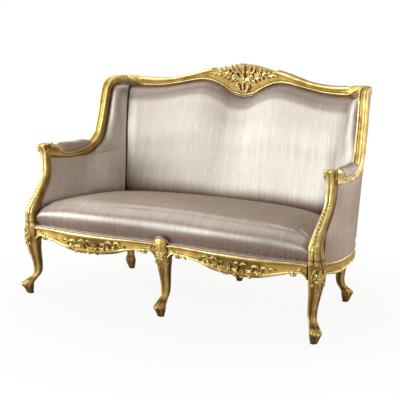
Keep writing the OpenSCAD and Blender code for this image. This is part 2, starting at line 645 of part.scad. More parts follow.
// Inside back: [share of the height, share of back_hollow]
hollow_shares = [[0, 0.97], [0.19, 0.97], [0.5, 1.05], [0.75, 1.16], [0.91, 1.2], [0.97, 1.0], [1, 0.9]];
back_columns = crest_half_steps;
module back_pad() {
    color("rosybrown") place()
        pad([for (h = pad_levels) let (e = seam(h), deep = back_hollow * curve(h, hollow_shares))
            [for (j = [-back_columns : back_columns])
                let (q = j / back_columns, x = q * e[0])
                [x, e[1] + deep * (1 - q ^ 2), mix(pad_low, crest_low_z(x) - pad_top_gap, h)]]],
            [for (h = pad_levels)
                [for (j = [-back_columns : back_columns])
                    let (x = j / back_columns * rear_reach,
                        z = mix(pad_low, crest_low_z(x * seam(h)[0] / rear_reach) - pad_top_gap, h))
                    [x, back_y(x, z) - pad_rear, z]]]);
}
module back_webbing() {
    reach = rear_x + stile_w * 0.3;
    color("wheat") place() for (k = [0.14, 0.34, 0.54, 0.74])
        let (z0 = mix(tack_high, shoulder_h, k) - web_w / 2)
        skin([for (i = [-back_steps : back_steps])
            let (x = reach * i / back_steps)
            [for (q = [[web_front, 0], [web_rear, 0], [web_rear, web_w], [web_front, web_w]])
                [x, back_y(x, z0 + q[1]) - q[0], z0 + q[1]]]]);
}

// Sides: [share of the way, [share of post_x, share of leg_depth]] at the level of the seat
side_in_shares = [
    [0.00, [0.954, 0.088]], [0.25, [0.930, 0.234]], [0.50, [0.899, 0.469]], [0.72, [0.855, 0.656]],
    [0.88, [0.795, 0.735]], [1.00, [0.746, 0.771]]];
side_out_shares = [
    [0.00, [0.996, 0.088]], [0.25, [1.016, 0.250]], [0.50, [1.000, 0.500]], [0.75, [0.935, 0.740]],
    [1.00, [0.864, 0.908]]];
side_end = [soft_gap * 1.4, -soft_gap * 1.4, 0];
frame_gap = soft_gap * 6;
wing_gap = frame_gap * 1.4;
post_low_y = post_y + curve(0, post_shares)[2] * post_half + soft_gap * 3;
function post_rear_y(z) =
    let (v = curve(min(max((z - seat_rail_h) / (post_top - seat_rail_h), 0), 1), post_shares))
    max(post_low_y, post_y + v[1] * block_half + v[2] * post_half + frame_gap);
arm_from = (post_rear_y(post_top) - arm_y0) / (arm_y1 - arm_y0);
wing_reach = 0.93;
// Rear of the post, underside of the arm, then rear of the wing up to the shoulder, in steps of one
function side_frame(f, edge, low) =
    f <= 1 ?
        let (p = mix(low, side_frame(1.0001, edge, low), f)) [p[0], post_rear_y(p[2]), p[2]] :
    f <= 2 ?
        let (s = mix(arm_from, 1, f - 1), v = curve(s, arm_shares))
        [post_c(1)[0] + v[3] * block_half + edge * v[2] * hand_half, mix(arm_y0, arm_y1, s),
            post_top + v[0] * hand_h - mix(soft_gap * 2.5, wing_gap, (f - 1) ^ 2)] :
        let (s = wing_reach * (f - 2), d = wing_dir(s),
            t = mould_t * curve(s, wing_thick_shares) / 2 + wing_gap)
        wing_point(s) + [edge * mould_w / 2, d[1] * t, -d[0] * t];
side_full_z = mix(pad_low, corner_top_z, 0.19);
seat_lift = over * 4;
function level_point(table, q) =
    let (v = curve(q, table)) [v[0] * post_x, v[1] * leg_depth, mix(seat_side + seat_lift, side_full_z, q)];
// Line that parts the lower side from the wing: along the arm, then round to the seam
part_share = 0.5;
function part_line(q, edge, last, hollow) =
    q <= 0.5 ? side_frame(1.0001 + q * 1.9998, edge, last) :
    let (t = q * 2 - 1, a = side_frame(2, edge, last), r = last - a, n = unit([-r[1], r[0]]))
    mix(a, last, t) - [n[0], n[1], 0] * hollow * 4 * t * (1 - t);
// Rows of the lower side: [share of the height from the seat to that line, share of the seam's height]
side_rows_shares = [
    [0, 0.19], [0.2, 0.255], [0.4, 0.32], [0.6, 0.385], [0.8, 0.445], [0.93, 0.485], [1, part_share]];
function lower_point(table, row, q, edge, end, hollow, full) =
    let (low = level_point(table, 0),
        top_end = (hollow > 0 ? seam(part_share) : seam_rear(part_share)) + side_end,
        line = part_line(q, edge, top_end, hollow),
        p = mix(level_point(table, q), line, row[0]),
        p0 = mix(low, part_line(0, edge, top_end, hollow), row[0]),
        p1 = mix(level_point(table, 1), top_end, row[0]))
    p + [0, post_rear_y(p0[2]) - p0[1], 0] * (1 - q) ^ 2 + (end - p1) * q ^ 2
    - [1, 0, 0] * full * sin(180 * q) * 4 * row[0] * (1 - row[0]);
function lower_in(row, q) =
    lower_point(side_in_shares, row, q, -1, seam(row[1]) + side_end, roll_full * 0.5, roll_full * 0.15);
function lower_out(row, q) =
    lower_point(side_out_shares, row, q, 0.2, seam_rear(row[1]) + side_end, 0, 0);
side_columns = 14;
module side_pad(side) {
    marks = [for (j = [side_columns : -1 : 0]) j / side_columns];
    color("rosybrown") on_side(side)
        pad(concat([[for (q = marks) let (p = lower_in([0, 0], q)) [p[0], p[1], pad_low]]],
                [for (row = side_rows_shares) [for (q = marks) lower_in(row, q)]]),
            concat([[for (q = marks) let (p = lower_out([0, 0], q)) [p[0], p[1], pad_low]]],
                [for (row = side_rows_shares) [for (q = marks) lower_out(row, q)]]));
}
// Rows of the wing's roll: [place along the wing, share of the seam's height]
wing_rows_shares = [[2, part_share], [2.1, 0.53], [2.195, 0.575], [2.295, 0.625], [2.39, 0.68], [2.5, 0.745],
    [2.6, 0.8], [2.7, 0.85], [2.78, 0.893], [2.85, 0.93], [2.92, 0.965], [3, 1]];
// Heights at which the back has its rows, so that it meets the sides all the way up
pad_levels = concat([0], [for (r = side_rows_shares) r[1]],
    [for (r = wing_rows_shares) if (r[1] > part_share) r[1]]);
full_shares = [[2, 0], [2.25, 0.4], [2.5, 0.8], [2.7, 1], [2.88, 0.75], [3, 0]];
hollow_in_shares = [[2, 1], [2.2, 0.35], [2.4, 0], [3, 0]];
function wing_in(row, q) =
    let (a = side_frame(row[0], -1, [0, 0, 0]), b = seam(row[1]) + side_end,
        r = b - a, n = unit([-r[1], r[0]]),
        k = roll_full * curve(row[0], full_shares) * (1 - abs(q * 2 - 1) ^ 2.5)
            - roll_full * 0.5 * curve(row[0], hollow_in_shares) * 4 * q * (1 - q))
    mix(a, b, q) + [n[0] * k, n[1] * k, row[0] > 2 ? 0 : soft_gap * 2];
function wing_out(row, q) =
    mix(side_frame(row[0], 0.2, [0, 0, 0]), seam_rear(row[1]) + side_end, q)
    + [0, 0, row[0] > 2 ? 0 : soft_gap * 2];
wing_columns = 10;
module wing_pad(side) {
    marks = [for (j = [wing_columns : -1 : 0]) j / wing_columns];
    color("rosybrown") on_side(side)
        pad([for (row = wing_rows_shares) [for (q = marks) wing_in(row, q)]],
            [for (row = wing_rows_shares) [for (q = marks) wing_out(row, q)]]);
}
module wing_pad_left() { wing_pad(left); }
module wing_pad_right() { wing_pad(right); }
module side_pad_left() { side_pad(left); }
module side_pad_right() { side_pad(right); }

// Outer covers, which turn the rear corner on a curve
wall_out = rail_t * 0.4;
wall_turn = 0.7;
wall_corner_s = 0.86;
wall_rows_shares = [[0, 0], [0.25, 0.12], [0.5, 0.24], [0.75, 0.36], [1, 0.46], [1.5, 0.5], [2, 0.54],
    [2.1, 0.58], [2.195, 0.62], [2.295, 0.66], [2.44, 0.73], [2.6, 0.8], [2.7, 0.86], [2.78, 0.91],
    [2.86, 0.955], [3, 1]];
wall_hug_shares = [[0, 0], [0.6, 0.5], [1, 1], [1.5, 0.6], [2, 0], [3, 0]];
wall_marks = [0, 0.14, 0.28, 0.42, 0.56, 0.7, 0.76, 0.82, 0.88, 0.94, 1];
function wall_low(s) =
    let (p = side_inset(s, -wall_out)) [p[0], p[1], seat_rail_h];
function wall_point(row, q, inset) =
    let (r = shoulder_r + mould_w * 0.4 - inset, top_z = wing_z1 - mould_t * 0.55 - soft_gap,
        low = wall_low(wall_corner_s), first = side_frame(row[0], 0.8, wall_low(0.012)) - [inset, 0, 0],
        knee = mix(low - [inset, inset * 0.6, 0], [crest_end_x + r, wing_y1, top_z], row[1]),
        last = mix(wall_low(1) - [0, inset, 0], [crest_end_x, wing_y1 + r, top_z], row[1]),
        k = q / wall_turn, a = 90 * (q - wall_turn) / (1 - wall_turn),
        way = mix(0.012, wall_corner_s, k),
        belly = (wall_low(way) - mix(wall_low(0.012), low, k)) * max(0, 1 - row[0])
            + [4 * k * (1 - k) * mould_w * 0.4 * curve(row[0], wall_hug_shares), 0, 0])
    q <= wall_turn ? mix(first, knee, k) + belly :
    [mix(knee[0], last[0], 1 - cos(a)), mix(knee[1], last[1], sin(a)), knee[2]];
module outer_side(side) {
    color("rosybrown") on_side(side)
        pad([for (row = wall_rows_shares) [for (q = wall_marks) wall_point(row, q, 0)]],
            [for (row = wall_rows_shares) [for (q = wall_marks) wall_point(row, q, panel_t)]]);
}
module outer_side_left() { outer_side(left); }
module outer_side_right() { outer_side(right); }
module outer_back() {
    reach = crest_end_x - soft_gap;
    levels = [0, 0.5, 1];
    function face(x, h, out) =
        let (z = mix(seat_rail_h, crest_low_z(x) - soft_gap, h)) [x, back_y(x, z) + back_panel_y + out, z];
    color("rosybrown") place()
        pad([for (h = levels) [for (j = [back_columns : -1 : -back_columns])
                face(j / back_columns * reach, h, panel_t)]],
            [for (h = levels) [for (j = [back_columns : -1 : -back_columns])
                face(j / back_columns * reach, h, 0)]]);
}

// Seat: [share of the way from front to back, [height over the middle, height at the sides]] as shares
seat_rows_shares = [
    [0.000, [0.02, 0.02]], [0.004, [0.16, 0.14]], [0.010, [0.36, 0.32]], [0.028, [0.55, 0.56]],
    [0.055, [0.70, 0.74]], [0.100, [0.82, 0.86]], [0.180, [0.91, 0.94]], [0.300, [0.975, 0.985]],
    [0.450, [1.00, 1.00]], [0.600, [1.00, 1.00]], [0.750, [0.975, 1.00]], [0.880, [0.93, 1.00]],
    [1.000, [0.88, 1.00]]];
seat_lean_shares = [0, -0.55, -0.75, -0.55, 0, 0, 0, 0, 0, 0, 0, 0, 0];
seat_columns = 13;
seat_high = seat_top + seat_crown - pad_low;
seat_low = seat_side - pad_low;
function front_edge_y(x) =
    let (s = (abs(x) - block_half) / front_rail_l,
        v = s <= 0 || s >= 1 ? [0, 0, 0] : curve(1 - s, apron_shares))
    rail_back_y - (rail_t + v[1] * apron_bow) * 0.84;
function seat_half(y) =
    y < post_low_y ? corner_x - over * 2.5 : side_x_at(y) - over;
function side_x_at(y, u = 0) =
    u >= 1 ? level_point(side_in_shares, 1)[0] :
    let (a = level_point(side_in_shares, u), b = level_point(side_in_shares, u + 1 / side_columns))
    b[1] >= y ? mix(a[0], b[0], min(max((y - a[1]) / (b[1] - a[1]), 0), 1)) :
    side_x_at(y, u + 1 / side_columns);
seat_gap = over * 3.5;
function seat_place(q, s) =
    let (y1 = leg_depth * 0.773 - seat_gap, y0 = front_edge_y(q * corner_x) + piping_r * 2 + soft_gap,
        yc = mix(y0, y1, s), x = q * seat_half(yc))
    [x, mix(y0, y1 + back_hollow * 0.97 * (1 - (x / (rear_x * 0.904)) ^ 2), s)];
module seat_pad() {
    rows = len(seat_rows_shares) - 1;
    color("rosybrown") place()
        pad([for (i = [0 : rows]) let (row = seat_rows_shares[i])
                [for (j = [-seat_columns : seat_columns])
                    let (q = sin(90 * j / seat_columns), p = seat_place(q, row[0]))
                    [p[0], p[1] + seat_lean_shares[i] * piping_r * 4,
                        pad_low + mix(row[1][0] * seat_high, row[1][1] * seat_low, abs(q) ^ 5)]]],
            [for (i = [0 : rows]) let (row = seat_rows_shares[i])
                [for (j = [-seat_columns : seat_columns])
                    let (p = seat_place(sin(90 * j / seat_columns), row[0])) [p[0], p[1], pad_low]]]);
}
piping_steps = 36;
module seat_piping() {
    reach = corner_x - over * 3;
    color("rosybrown") place()
        skin([for (i = [-piping_steps : piping_steps])
            let (x = reach * i / piping_steps, k = max(0, 1 - (x / (leaf_half * 1.25)) ^ 2),
                y = front_edge_y(x) + piping_r - k * (leaf_t * 0.55 + piping_r),
                z = seat_rail_h + piping_r + k * (leaf_rise + over * 2.5))
            [for (a = [0 : 60 : 300]) [x, y + piping_r * cos(a), z + piping_r * sin(a)]]]);
}

// Arm pads: shares of the half width and the height over the arm
pad_section_shares = [[-0.72, 0], [-0.98, 0.22], [-1, 0.48], [-0.82, 0.78], [-0.45, 0.95], [0, 1],
    [0.45, 0.95], [0.82, 0.78], [1, 0.48], [0.98, 0.22], [0.72, 0]];
arm_pad_marks = [0.45, 0.485, 0.52, 0.58, 0.64, 0.72, 0.8, 0.9, 1];
wing_pad_marks = [1, 2, 3];
pad_swell_shares = [[0, [0.25, 0.35]], [0.06, [0.62, 0.62]], [0.16, [0.9, 0.84]], [0.32, [1, 1]],
    [0.6, [1, 1]], [0.8, [0.94, 0.84]], [0.93, [0.72, 0.5]], [1, [0.35, 0.2]]];
function arm_pad_base(i) =
    i < len(arm_pad_marks) ?
        let (s = arm_pad_marks[i], v = curve(s, arm_shares))
        [post_c(1)[0] + v[3] * block_half, mix(arm_y0, arm_y1, s), post_top + v[1] * hand_h + soft_gap] :
        let (s = wing_pad_marks[i - len(arm_pad_marks)] / wing_steps, d = wing_dir(s),
            t = mould_t * curve(s, wing_thick_shares) / 2 + soft_gap)
        wing_point(s) + [0, -d[1] * t, d[0] * t];
module arm_pad(side) {
    last = len(arm_pad_marks) + len(wing_pad_marks) - 1;
    y0 = arm_pad_base(0)[1];
    y1 = arm_pad_base(last)[1];
    color("rosybrown") on_side(side)
        skin([for (i = [0 : last])
            let (b = arm_pad_base(i), v = curve((b[1] - y0) / (y1 - y0), pad_swell_shares))
            [for (q = pad_section_shares)
                b + [q[0] * v[0] * arm_pad_half, 0, q[1] * v[1] * arm_pad_h]]]);
}
module arm_pad_left() { arm_pad(left); }
module arm_pad_right() { arm_pad(right); }

leg_front_left();
leg_front_middle();
leg_front_right();
leg_rear_left();
leg_rear_middle();
leg_rear_right();
foot_glides();
front_rail_left();
front_rail_right();
side_rail_left();
side_rail_right();
back_rail_left();
back_rail_right();
arm_post_left();
arm_post_right();
arm_rail_left();
arm_rail_right();
wing_rail_left();
wing_rail_right();
crest_rail();
knee_leaf();
back_stile_left();
back_stile_right();
back_stile_middle();
back_tacking_rail();
seat_stretcher();
corner_blocks();
corner_screws();
frame_dowels();
seat_webbing();
seat_hessian();
seat_pad();
seat_piping();
back_webbing();
back_pad();
side_pad_left();
side_pad_right();
wing_pad_left();
wing_pad_right();
arm_pad_left();
arm_pad_right();
outer_side_left();
outer_side_right();
outer_back();
dust_cover();
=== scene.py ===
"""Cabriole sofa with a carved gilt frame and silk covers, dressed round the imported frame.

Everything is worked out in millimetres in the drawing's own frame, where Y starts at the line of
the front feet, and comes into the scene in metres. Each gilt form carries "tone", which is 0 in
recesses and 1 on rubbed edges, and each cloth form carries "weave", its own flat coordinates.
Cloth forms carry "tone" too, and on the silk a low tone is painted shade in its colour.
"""

import logging
from collections.abc import Callable
from dataclasses import dataclass, field, replace
from enum import Enum

import bpy
import numpy as np
from mathutils import Matrix, Vector


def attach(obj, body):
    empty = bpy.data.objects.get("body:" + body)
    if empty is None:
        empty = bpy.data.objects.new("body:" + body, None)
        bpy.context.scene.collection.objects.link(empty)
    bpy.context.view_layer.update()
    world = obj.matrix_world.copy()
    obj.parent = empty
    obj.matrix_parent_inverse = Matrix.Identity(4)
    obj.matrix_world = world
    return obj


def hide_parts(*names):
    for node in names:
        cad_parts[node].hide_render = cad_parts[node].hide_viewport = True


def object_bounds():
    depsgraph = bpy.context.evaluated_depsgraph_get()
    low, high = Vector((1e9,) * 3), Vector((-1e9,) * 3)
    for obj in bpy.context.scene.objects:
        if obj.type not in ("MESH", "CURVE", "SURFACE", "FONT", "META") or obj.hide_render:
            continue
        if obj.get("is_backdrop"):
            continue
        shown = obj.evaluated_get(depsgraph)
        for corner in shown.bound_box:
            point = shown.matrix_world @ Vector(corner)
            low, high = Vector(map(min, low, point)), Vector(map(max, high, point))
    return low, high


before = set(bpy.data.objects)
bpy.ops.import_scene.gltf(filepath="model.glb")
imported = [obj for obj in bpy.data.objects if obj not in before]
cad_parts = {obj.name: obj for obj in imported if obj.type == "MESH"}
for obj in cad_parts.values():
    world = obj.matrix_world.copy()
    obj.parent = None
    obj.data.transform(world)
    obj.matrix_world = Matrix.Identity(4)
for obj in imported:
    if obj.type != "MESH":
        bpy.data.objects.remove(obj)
CAD_BOX = [list(corner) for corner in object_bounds()]
log = logging.getLogger("cabriole_sofa")

Array = np.ndarray
Triple = tuple[float, float, float]
Socket = bpy.types.NodeSocket


class Side(Enum):
    """Which half of the sofa a piece is on, as its sign along X."""
    LEFT = -1
    RIGHT = 1

    @property
    def word(self) -> str:
        """The word that ends the piece's name."""
        return self.name.lower()


def table(*rows: tuple) -> Array:
    """Rows of [place, value, ...] as one array."""
    return np.array(rows, float)


def curve(x: Array | float, rows: Array) -> Array:
    """Smooth curve through rows of [place, value, ...].

    Between two rows each value follows the cubic whose slope at a row is that of the chord
    from the row before it to the row after it.

    Args:
        x: Places along the curve.
        rows: The table, sorted by place.

    Returns:
        One value for each place, with a last axis where the table has several values.
    """
    x = np.asarray(x, float)
    n = len(rows)
    i = np.clip(np.searchsorted(rows[:, 0], x, side="right") - 1, 0, n - 2)
    before, after = np.maximum(np.arange(n) - 1, 0), np.minimum(np.arange(n) + 1, n - 1)
    slope = (rows[after, 1:] - rows[before, 1:]) / (rows[after, 0] - rows[before, 0])[:, None]
    h = (rows[i + 1, 0] - rows[i, 0])[..., None]
    t = ((x - rows[i, 0])[..., None]) / h
    value = ((2 * t ** 3 - 3 * t ** 2 + 1) * rows[i, 1:] + (t ** 3 - 2 * t ** 2 + t) * h * slope[i]
             + (3 * t ** 2 - 2 * t ** 3) * rows[i + 1, 1:] + (t ** 3 - t ** 2) * h * slope[i + 1])
    return value[..., 0] if rows.shape[1] == 2 else value


def mix(a: Array | float, b: Array | float, t: Array | float) -> Array | float:
    """Straight blend from a to b."""
    return a + (b - a) * t


def unit(v: Array) -> Array:
    """Vectors of length one along the last axis."""
    return v / np.maximum(np.linalg.norm(v, axis=-1, keepdims=True), 1e-9)


def stack(*parts: Array | float) -> Array:
    """Joins coordinates into points along a new last axis."""
    return np.stack(np.broadcast_arrays(*parts), axis=-1)


def ease(x: Array | float, low: float, high: float) -> Array:
    """0 below low, 1 above high, and a smooth step between them."""
    t = np.clip((np.asarray(x, float) - low) / (high - low), 0, 1)
    return t * t * (3 - 2 * t)


def bump(x: Array, middle: float, width: float) -> Array:
    """Smooth hump of height 1 at the middle that is gone two widths away."""
    return np.exp(-((x - middle) / width) ** 2)


@dataclass
class Shell:
    """Closed forms as plain arrays, before they become a mesh."""
    points: Array
    quads: Array
    tone: Array
    weave: Array

    @classmethod
    def loft(cls, rings: Array, tone: Array | float = 0.6, weave: Array | None = None) -> "Shell":
        """A closed form through rings of points.

        Each ring joins the next one point by point, and the first and last ring are closed by
        faces that run straight across, from a point to the one opposite on the ring.

        Args:
            rings: Points with shape (rings, points round a ring, 3), an even number round.
            tone: Tone of each point, or one for all.
            weave: Flat coordinates of the cloth in metres, with shape (rings, points, 2).

        Returns:
            The form, with its faces pointing outwards.
        """
        m, n = rings.shape[:2]
        a = np.arange(m - 1)[:, None] * n + np.arange(n)
        b = np.arange(m - 1)[:, None] * n + (np.arange(n) + 1) % n
        walls = np.stack([a, b, b + n, a + n], -1).reshape(-1, 4)
        j = np.arange(n // 2 - 1)
        first = np.stack([j, n - 1 - j, n - 2 - j, j + 1], -1)
        last = np.stack([j, j + 1, n - 2 - j, n - 1 - j], -1) + (m - 1) * n
        quads = np.concatenate([walls, first, last])
        points = rings.reshape(-1, 3)
        tones = np.broadcast_to(np.asarray(tone, float), (m, n)).reshape(-1)
        flat = np.zeros((m * n, 2)) if weave is None else weave.reshape(-1, 2)
        return cls(points, quads, tones.copy(), flat).outward()

    @classmethod
    def slab(cls, front: Array, rear: Array, weave: Array | None = None,
             tone: Array | float = 0.6) -> "Shell":
        """A closed pad between a front grid and a rear grid of the same shape.

        Each row becomes a ring: along the front, then back along the rear.

        Args:
            front: Grid of points that shows.
            rear: Grid of points behind it.
            weave: Flat coordinates of the front grid.
            tone: Tone of the front grid.

        Returns:
            The form.
        """
        rings = np.concatenate([front, rear[:, ::-1]], axis=1)
        if weave is not None:
            weave = np.concatenate([weave, weave[:, ::-1]], axis=1)
        tone = np.broadcast_to(np.asarray(tone, float), front.shape[:2])
        return cls.loft(rings, np.concatenate([tone, tone[:, ::-1]], axis=1), weave)

    @classmethod
    def join(cls, shells: list["Shell"]) -> "Shell":
        """Several forms as one."""
        starts = np.cumsum([0] + [len(s.points) for s in shells[:-1]])
        return cls(np.concatenate([s.points for s in shells]),
                   np.concatenate([s.quads + k for s, k in zip(shells, starts)]),
                   np.concatenate([s.tone for s in shells]),
                   np.concatenate([s.weave for s in shells]))

    def outward(self) -> "Shell":
        """The same form, turned so that its volume is positive."""
        p = self.points - self.points.mean(0)
        a, b, c, d = (p[self.quads[:, k]] for k in range(4))
        volume = (np.cross(a, b) * c).sum() + (np.cross(a, c) * d).sum()
        if volume < 0:
            self.quads = self.quads[:, ::-1]
        return self

    def on(self, side: Side) -> "Shell":
        """The right-hand form as it stands on that side, mirrored for the left one."""
        if side is Side.RIGHT:
            return self
        return Shell(self.points * [-1, 1, 1], self.quads[:, ::-1], self.tone, self.weave * [-1, 1])


@dataclass(frozen=True)
class Sizes:
    """Sizes that several sub-assemblies share, in millimetres, with the lines they lie on."""
    front_x: float = 695
    rear_x: float = 570
    depth: float = 640
    rail_h: float = 310
    arm_h: float = 668
    shoulder_h: float = 960
    crest_over: float = 71
    bow: float = 56
    lean: float = 78
    rail_t: float = 40
    rail_depth: float = 36
    drop: float = 44
    block: float = 30
    ankle: float = 17
    toe: float = 42
    mould_w: float = 40
    mould_t: float = 36
    post: float = 18.5
    hand: float = 24
    turn: float = 35
    glide: float = 4
    knee_rise: float = 27
    seat_top: float = 430
    seat_crown: float = 16
    seat_side: float = 404
    hollow: float = 62
    roll: float = 26

    @property
    def middle_y(self) -> float:
        """Depth of the sofa's middle behind the line of front feet."""
        return (self.depth + self.bow * 1.25) / 2

    @property
    def rail_low(self) -> float:
        """Underside of the straight rails."""
        return self.rail_h - self.rail_depth

    @property
    def post_x(self) -> float:
        """Middle of the arm posts."""
        return self.front_x - self.block / 6

    @property
    def post_y(self) -> float:
        """Middle of the front leg blocks."""
        return self.block * 2 / 3

    @property
    def crest_x(self) -> float:
        """Half of the top rail's length."""
        return self.rear_x + self.turn * 0.8

    @property
    def crest_y(self) -> float:
        """Depth of the top rail's middle line at its ends."""
        return self.depth + self.block

    @property
    def corner_y(self) -> float:
        """Depth of the rear leg blocks."""
        return self.crest_y - self.lean

    @property
    def crest_dip(self) -> float:
        """Level from which the top rail's outlines are measured."""
        return self.shoulder_h - self.mould_t * 0.33

    @property
    def crest_rise(self) -> float:
        """Height of the crest over that level."""
        return self.shoulder_h + self.crest_over - self.crest_dip

    @property
    def post_top(self) -> float:
        """Top of the arm posts."""
        return self.arm_h - self.hand * 2.5

    @property
    def pad_low(self) -> float:
        """Underside of the upholstery."""
        return self.rail_h + 5.5

    def bow_at(self, x: Array | float) -> Array:
        """How far the back stands behind its corners at x, a parabola."""
        return self.bow * (1 - (np.asarray(x, float) / self.crest_x) ** 2)

    def back_y(self, x: Array | float, z: Array | float) -> Array:
        """Middle plane of the back's frame: it leans in a straight line and bows in plan."""
        rise = (self.shoulder_h - self.rail_depth / 2 - z) / (self.shoulder_h - self.rail_h)
        return self.crest_y - self.lean * rise + self.bow_at(x)

    def scene(self, points: Array) -> Array:
        """Points of the drawing as points of the scene, in metres and centred."""
        return (points - [0, self.middle_y, 0]) / 1000


S = Sizes()

# Tables of the lines. The first column is the place along the line, from 0 to 1, and the others
# are shares, so that the lines follow the sizes.

# Top rail from the middle outwards: upper edge and underside as shares of the crest's rise
CREST = table(
    (0.00, 1.00, -0.75), (0.08, 0.98, -0.65), (0.13, 0.92, -0.46), (0.18, 0.86, -0.26),
    (0.25, 0.75, -0.05), (0.31, 0.65, 0.04), (0.38, 0.53, 0.03), (0.47, 0.34, -0.08),
    (0.57, 0.15, -0.22), (0.70, 0.03, -0.37), (0.84, 0.03, -0.42), (1.00, 0.15, -0.40))
# Front rail across its bay: drop of the underside, swell of the face
APRON = table(
    (0.00, 0.02, 0.00), (0.10, 0.16, 0.10), (0.22, 0.62, 0.45), (0.34, 0.98, 0.95), (0.50, 1.00, 1.00),
    (0.64, 0.84, 0.85), (0.78, 0.28, 0.40), (0.90, 0.04, 0.08), (1.00, 0.00, 0.00))
# Side rail in plan: way in to the rear corner, swell outwards, depth
SIDE_PATH = table(
    (0.00, 0.00, 0.00, 0.000), (0.12, 0.00, 0.76, 0.109), (0.27, 0.00, 1.00, 0.257),
    (0.45, 0.02, 0.62, 0.460), (0.62, 0.20, 0.10, 0.664), (0.77, 0.56, 0.00, 0.830),
    (0.88, 0.79, 0.00, 0.928), (1.00, 1.00, 0.00, 1.000))
# Drop of its underside
SIDE_DROP = table((0, 0.2), (0.2, 0.35), (0.4, 0.15), (0.7, 0.3), (1, 0))
# Arm post: shift outwards and shift back in blocks, half size in posts
POST = table(
    (0.00, 0.00, 0.00, 1.72), (0.12, -0.04, -0.32, 1.52), (0.24, -0.10, -0.40, 1.40),
    (0.35, -0.10, 0.20, 1.24), (0.51, -0.04, 1.56, 1.08), (0.68, 0.08, 2.86, 1.00),
    (0.82, 0.16, 3.32, 1.00), (1.00, 0.24, 3.40, 1.06))
# Arm: underside and top as shares of its height, half width in hands, shift outwards in blocks
ARM = table(
    (0.00, 0.70, 0.94, 0.84, 0.16), (0.03, 0.42, 1.00, 0.98, 0.16), (0.075, 0.00, 1.01, 1.00, 0.14),
    (0.22, 0.00, 0.98, 0.98, 0.08), (0.30, -0.08, 0.90, 0.92, 0.02), (0.38, -0.12, 0.78, 0.86, -0.06),
    (0.45, -0.15, 0.48, 0.84, -0.14), (0.52, -0.17, 0.26, 0.84, -0.20), (0.64, -0.20, 0.18, 0.84, -0.32),
    (0.80, -0.20, 0.18, 0.82, -0.46), (1.00, -0.22, 0.38, 0.83, -0.60))
# Wing: depth and height as shares of the way from arm to shoulder, and how far out towards the arm
WING = table(
    (0.00, 0.0000, 0.000, 1.00), (0.09, 0.176, 0.035, 0.92), (0.18, 0.330, 0.105, 0.82),
    (0.28, 0.435, 0.208, 0.72), (0.40, 0.499, 0.366, 0.65), (0.54, 0.564, 0.573, 0.60),
    (0.68, 0.612, 0.771, 0.54), (0.78, 0.655, 0.899, 0.45), (0.87, 0.745, 0.976, 0.28),
    (1.00, 1.0, 1.0, 0.0))
# Thickness of the wing's rail
WING_THICK = table((0, 1.0), (0.3, 0.95), (0.6, 0.95), (0.85, 1), (1, 1.1))
# Seam beside the inside back: half width and depth as shares of the frame's
SEAM = table(
    (0.00, 0.904, 0.773), (0.19, 0.904, 0.773), (0.35, 0.923, 0.806), (0.514, 0.944, 0.839),
    (0.65, 0.958, 0.859), (0.82, 0.982, 0.902), (0.91, 0.996, 0.930), (0.96, 1.012, 0.961),
    (0.985, 1.028, 0.992), (1.00, 1.040, 1.016))
# Hollow of the inside back
HOLLOW = table((0, 0.97), (0.19, 0.97), (0.5, 1.05), (0.75, 1.16), (0.91, 1.2), (0.97, 1.0), (1, 0.9))


